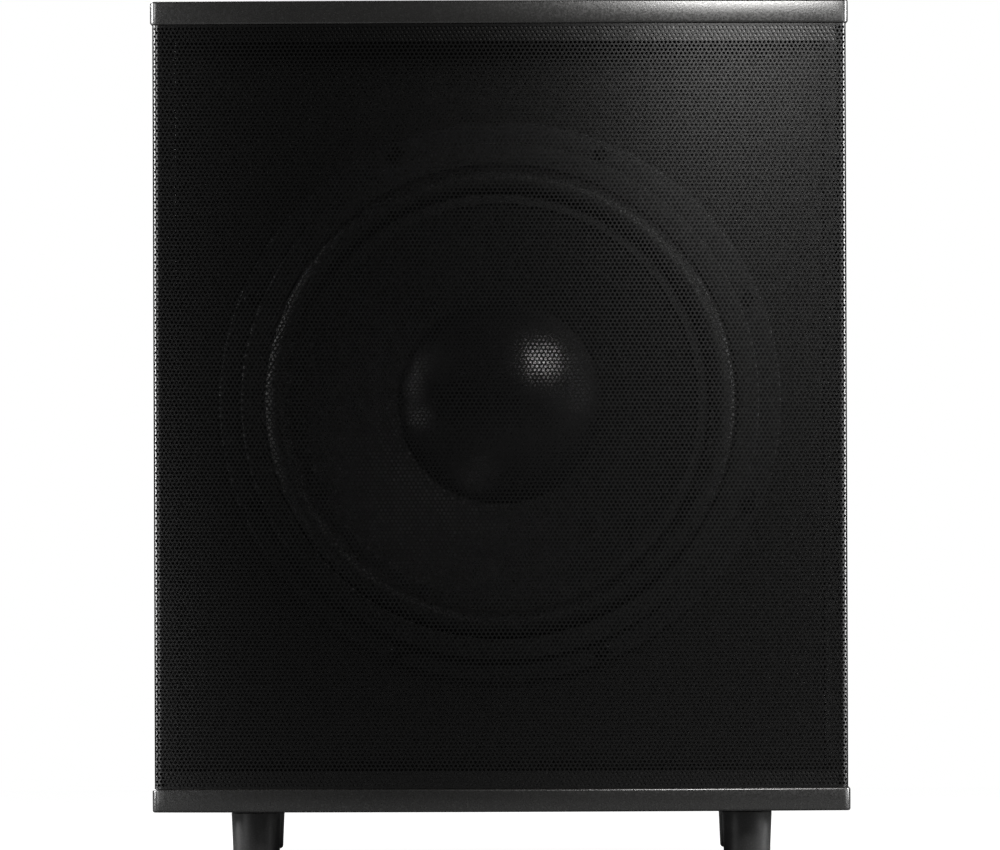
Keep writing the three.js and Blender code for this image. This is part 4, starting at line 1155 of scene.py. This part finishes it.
def screw_head(x, z, face, radius, rise):
    """Pan head with a cross recess. At the share s of its radius the dome is rise sqrt(1 - 0.9 s^2.6) high, and
    the recess lies 0.55 rise deeper, where either coordinate is near the middle."""
    count = 64
    t = np.linspace(0, 2 * np.pi, count, endpoint=False)
    s = np.linspace(0, 1, 22)
    r = radius * s[:, None] * np.ones_like(t)[None]
    u, v = r * np.cos(t), r * np.sin(t)
    dome = rise * np.sqrt(np.clip(1 - 0.9 * s[:, None] ** 2.6, 0, 1)) * np.ones_like(t)[None]
    arm = np.minimum(np.abs(u), np.abs(v)) < 0.17 * radius
    recess = arm & (r < 0.62 * radius)
    top = face + np.where(recess, dome - 0.55 * rise, dome)
    flat = np.full((1, count), face)
    low = np.stack([u[-1:], flat, v[-1:]], -1)
    base = np.stack([0 * u[:1], flat, 0 * v[:1]], -1)
    grid = np.concatenate([np.stack([u, top, v], -1), low, base])
    grid[..., 0] += x
    grid[..., 2] += z
    quads = loop_grid(len(grid), count)[: (len(grid) - 1) * count]
    return merged(grid.reshape(-1, 3), quads)


class SUBWOOFER_OT_amplifier(bpy.types.Operator):
    """Plate screws, fluted knobs with pointers, dial marks, jack inserts and the status lamp"""

    bl_idname = "subwoofer.amplifier"
    bl_label = "Amplifier panel"

    def execute(self, context):
        low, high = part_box("amp_plate")
        face = high.y
        inset = 7 * MM
        xs = [low.x + inset, (low.x + high.x) / 2, high.x - inset]
        zs = [low.z + inset, (low.z + high.z) / 2, high.z - inset]
        spots = [(x, z) for x in xs for z in zs if (x, z) != (xs[1], zs[1])]
        heads = [screw_head(x, z, face, 3.6 * MM, 1.9 * MM) for x, z in spots]
        piece("amp_plate_screws", heads, "black_steel")
        marks = []
        for name in ("level", "crossover"):
            self.knob(name)
            knob_low, knob_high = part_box(name + "_knob")
            x, z = (knob_low.x + knob_high.x) / 2, (knob_low.z + knob_high.z) / 2
            for degrees in np.linspace(-150, 150, 11):
                a = math.radians(degrees)
                tick = (1.8 if round(degrees) % 150 == 0 else 1.1) * MM
                reach = 13.2 * MM + np.array([0, tick])
                level = np.full(2, face + 0.06 * MM)
                path = np.stack([x - math.sin(a) * reach, level, z + math.cos(a) * reach], 1)
                sides = np.array([math.cos(a), 0, math.sin(a)])
                marks.append(swept(path, sides, 0.5 * MM, 0.1 * MM, 0.3))
        piece("dial_marks", marks, "black_plastic", finish="mark_white")
        self.jacks()
        self.lamp()
        return {"FINISHED"}

    def knob(self, name):
        low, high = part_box(name + "_knob")
        centre = ((low.x + high.x) / 2, (low.z + high.z) / 2)
        radius = (high.x - low.x) / 2
        base, top = low.y, high.y - 0.8 * MM
        bore, deep = 3.05 * MM, base + 8 * MM
        corners = [
            (0, top),
            (radius - 2.4 * MM, top),
            (radius - 0.8 * MM, top - 1.6 * MM),
            (radius, base + 2 * MM),
            (radius, base),
            (bore, base),
            (bore, deep),
            (0, deep),
        ]
        outline = rounded(corners, np.array([0, 0.5, 0.5, 0.3, 0.4, 0.2, 0.1, 0]) * MM, 4)
        flutes = 36

        def shape(t, row):
            side = (outline[row, 0] > radius - 1.2 * MM) & (outline[row, 1] > base + 1.9 * MM)
            return 1 - np.where(side, 0.035, 0.0) * (0.5 - 0.5 * np.cos(flutes * t)) ** 2

        shell = turned(outline, centre, flutes * 8, "Y", shape)
        body = name + "_control"
        piece(name + "_knob_grip", [shell], "black_plastic", [name + "_knob"], body=body)
        x, z = centre
        plan = oblong((x - 0.6 * MM, z + 1.5 * MM), (x + 0.6 * MM, z + radius - 1.6 * MM), 0.4 * MM, 4)
        pointer = slab(plan, top - 0.3 * MM, top + 0.35 * MM, 0.12 * MM, from_front, 3)
        piece(name + "_pointer", [pointer], "black_plastic", body=body, finish="mark_white")

    def jacks(self):
        low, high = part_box("line_input_jacks")
        middle = (low.x + high.x) / 2
        z = (low.z + high.z) / 2
        bore, outer = 1.72 * MM, 3.4 * MM
        face = high.y - 0.02 * MM
        back = face - 0.9 * MM
        ring = rounded([(bore, back), (outer, back), (outer, face), (bore, face)], 0.12 * MM, 3)
        for side, finish, name in ((-1, "jack_red", "right"), (1, "mark_white", "left")):
            shell = turned(ring, (middle + side * 12 * MM, z), 48, "Y")
            piece("jack_insert_" + name, [shell], "black_plastic", finish=finish)

    def lamp(self):
        low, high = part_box("status_led")
        centre = ((low.x + high.x) / 2, (low.z + high.z) / 2)
        radius = (high.x - low.x) / 2
        a = np.linspace(0, np.pi / 2, 10)
        rise = min(radius * 0.8, high.y - low.y)
        dome = np.stack([radius * np.sin(a), high.y - rise + rise * np.cos(a)], 1)
        outline = np.concatenate([dome, [(radius, low.y), (0, low.y)]])
        shell = turned(outline, centre, 48, "Y")
        piece("status_led_lens", [shell], "led_lens", ["status_led"])


class SUBWOOFER_OT_frame_finishes(bpy.types.Operator):
    """Gives every part that keeps its CAD shape its own finish"""

    bl_idname = "subwoofer.frame_finishes"
    bl_label = "Finishes of the other parts"

    def execute(self, context):
        slots = {row["node"]: row["material_slot"] for row in frame["record"]["subparts"]}
        special = {"mains_inlet": "inlet_plastic"}
        for name, made in frame["nodes"].items():
            finish = finish_of(special.get(name, slots[name]))
            made.data.materials.clear()
            made.data.materials.append(finish)
        return {"FINISHED"}


class SUBWOOFER_OT_finishes(bpy.types.Operator):
    """Makes the shader groups and every finish"""

    bl_idname = "subwoofer.finishes"
    bl_label = "Finishes"

    def execute(self, context):
        make_finishes()
        return {"FINISHED"}


# ---- Stage ----


def softbox(name, place, target, size, power, colour=(1, 1, 1)):
    """A rectangular light at a place that looks at a target."""
    light = bpy.data.lights.new(name, "AREA")
    light.shape = "RECTANGLE"
    light.size, light.size_y = size
    light.energy = power
    light.color = colour
    made = placed(name, light)
    place, target = np.array(place, float), np.array(target, float)
    back = (place - target) / np.linalg.norm(place - target)
    right = np.cross((0, 0, 1), back)
    right = right / np.linalg.norm(right)
    up = np.cross(back, right)
    made.matrix_world = Matrix([[right[k], up[k], back[k], place[k]] for k in range(3)] + [[0, 0, 0, 1]])
    made.visible_camera = False
    return made


class SUBWOOFER_OT_stage(bpy.types.Operator):
    """Pale floor, soft studio light and the camera"""

    bl_idname = "subwoofer.stage"
    bl_label = "Stage"

    def execute(self, context):
        settings = context.scene.subwoofer_studio
        self.floor()
        self.room(settings.room)
        aim = (0, -0.2, 0.33)
        key, sides, fill = settings.key, settings.sides, settings.fill
        softbox("key_softbox", (0.62, -1.25, 0.92), aim, (0.45, 0.4), key, (1.0, 0.99, 0.975))
        softbox("right_strip", (1.2, -1.0, 0.6), aim, (0.4, 0.8), key * 0.15)
        softbox("left_strip", (-1.5, -1.05, 0.8), aim, (0.4, 0.8), key * 0.45)
        for side, name in ((1, "right"), (-1, "left")):
            softbox(name + "_wall", (side * 1.3, -0.08, 0.62), (side * 0.24, -0.2, 0.5), (0.34, 1.0), sides)
        softbox("left_foot_light", (-1.1, -0.95, 0.12), (-0.17, -0.2, 0.05), (0.35, 0.2), key * 0.06)
        softbox("right_foot_light", (1.2, -0.6, 0.12), (0.17, -0.2, 0.05), (0.35, 0.2), key * 0.06)
        softbox("rear_fill", (-0.9, 2.1, 1.2), (0, 0.2, 0.3), (1.2, 1.0), fill)
        softbox("overhead", (0.2, 0.9, 2.2), (0, 0.2, 0.5), (1.4, 1.4), fill * 0.3)
        self.camera(settings.lens)
        context.scene.view_settings.view_transform = "Standard"
        return {"FINISHED"}

    def floor(self):
        """A pale floor that keeps its soft shadows but stays nearly white to the camera."""
        half = 4.0
        points = np.array([(-half, -half, 0), (half, -half, 0), (half, half, 0), (-half, half, 0)], float)
        mesh = mesh_from("studio_floor", points, [np.array([[0, 1, 2, 3]])], 30)
        made = placed("studio_floor", mesh)
        pale = (0.12, 0.12, 0.12)
        material = coating("pale_floor", pale, 0.8, 400, 0.01 * MM, drift=0.01, fleck=pale)
        tree = material.node_tree
        shader, end = tree.nodes["Principled BSDF"], tree.nodes["Material Output"]
        camera = add(tree, "ShaderNodeLightPath").outputs["Is Camera Ray"]
        strength = maths(tree, "MULTIPLY", camera, 0.985)
        glow = add(tree, "ShaderNodeEmission", {"Color": (1, 1, 1, 1), "Strength": strength})
        both = add(tree, "ShaderNodeAddShader", {0: shader.outputs[0], 1: glow.outputs[0]})
        tree.links.new(both.outputs[0], end.inputs["Surface"])
        mesh.materials.append(material)

    def room(self, strength):
        """White to the camera, dim to everything that it lights."""
        world = bpy.data.worlds.new("studio")
        world.use_nodes = True
        tree = world.node_tree
        tree.nodes.clear()
        seen = add(tree, "ShaderNodeBackground", {"Color": (1, 1, 1, 1), "Strength": 1.0})
        lit = add(tree, "ShaderNodeBackground", {"Color": (1, 1, 1, 1), "Strength": strength})
        camera = add(tree, "ShaderNodeLightPath").outputs["Is Camera Ray"]
        mixed = add(tree, "ShaderNodeMixShader", {0: camera, 1: lit.outputs[0], 2: seen.outputs[0]})
        add(tree, "ShaderNodeOutputWorld", {"Surface": mixed.outputs[0]})
        bpy.context.scene.world = world

    def camera(self, lens):
        camera = bpy.data.cameras.new("camera")
        camera.lens = lens
        camera.sensor_width = 36
        camera.clip_start, camera.clip_end = 0.5, 80
        made = placed("camera", camera)
        width = 689.5 * MM
        distance = width * lens / camera.sensor_width
        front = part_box("top_panel")[0].y
        roll = math.radians(0.2)
        made.rotation_euler = (math.pi / 2, 0, 0)
        made.location = (-0.0002, front - distance, 0.2969)
        made.rotation_mode = "XYZ"
        made.rotation_euler.rotate_axis("Z", -roll)
        bpy.context.scene.camera = made


# ---- Panel ----

STEPS = (
    SUBWOOFER_OT_finishes,
    SUBWOOFER_OT_frame_finishes,
    SUBWOOFER_OT_plates,
    SUBWOOFER_OT_sides,
    SUBWOOFER_OT_grille,
    SUBWOOFER_OT_wadding,
    SUBWOOFER_OT_feet,
    SUBWOOFER_OT_basket,
    SUBWOOFER_OT_surround,
    SUBWOOFER_OT_diaphragm,
    SUBWOOFER_OT_spider,
    SUBWOOFER_OT_bolts,
    SUBWOOFER_OT_amplifier,
    SUBWOOFER_OT_stage,
)

SETTINGS = {
    "subwoofer_grille": GrilleSettings,
    "subwoofer_cabinet": CabinetSettings,
    "subwoofer_woofer": WooferSettings,
    "subwoofer_finish": FinishSettings,
    "subwoofer_studio": StudioSettings,
}


class SUBWOOFER_PT_panel(bpy.types.Panel):
    """Lists the steps that build the subwoofer"""

    bl_label = "Subwoofer"
    bl_idname = "SUBWOOFER_PT_panel"
    bl_space_type = "VIEW_3D"
    bl_region_type = "UI"
    bl_category = "Subwoofer"

    def draw(self, context):
        for step in STEPS:
            self.layout.operator(step.bl_idname)
        for name, kind in SETTINGS.items():
            box = self.layout.box()
            for key in kind.__annotations__:
                box.prop(getattr(context.scene, name), key)


def register():
    for kind in SETTINGS.values():
        bpy.utils.register_class(kind)
    for name, kind in SETTINGS.items():
        setattr(bpy.types.Scene, name, PointerProperty(type=kind))
    for step in STEPS:
        bpy.utils.register_class(step)
    bpy.utils.register_class(SUBWOOFER_PT_panel)


def unregister():
    bpy.utils.unregister_class(SUBWOOFER_PT_panel)
    for step in reversed(STEPS):
        bpy.utils.unregister_class(step)
    for name in SETTINGS:
        delattr(bpy.types.Scene, name)
    for kind in reversed(list(SETTINGS.values())):
        bpy.utils.unregister_class(kind)


def main():
    register()
    for step in STEPS:
        getattr(bpy.ops.subwoofer, step.bl_idname.split(".")[1])()


if __name__ == "__main__":
    main()
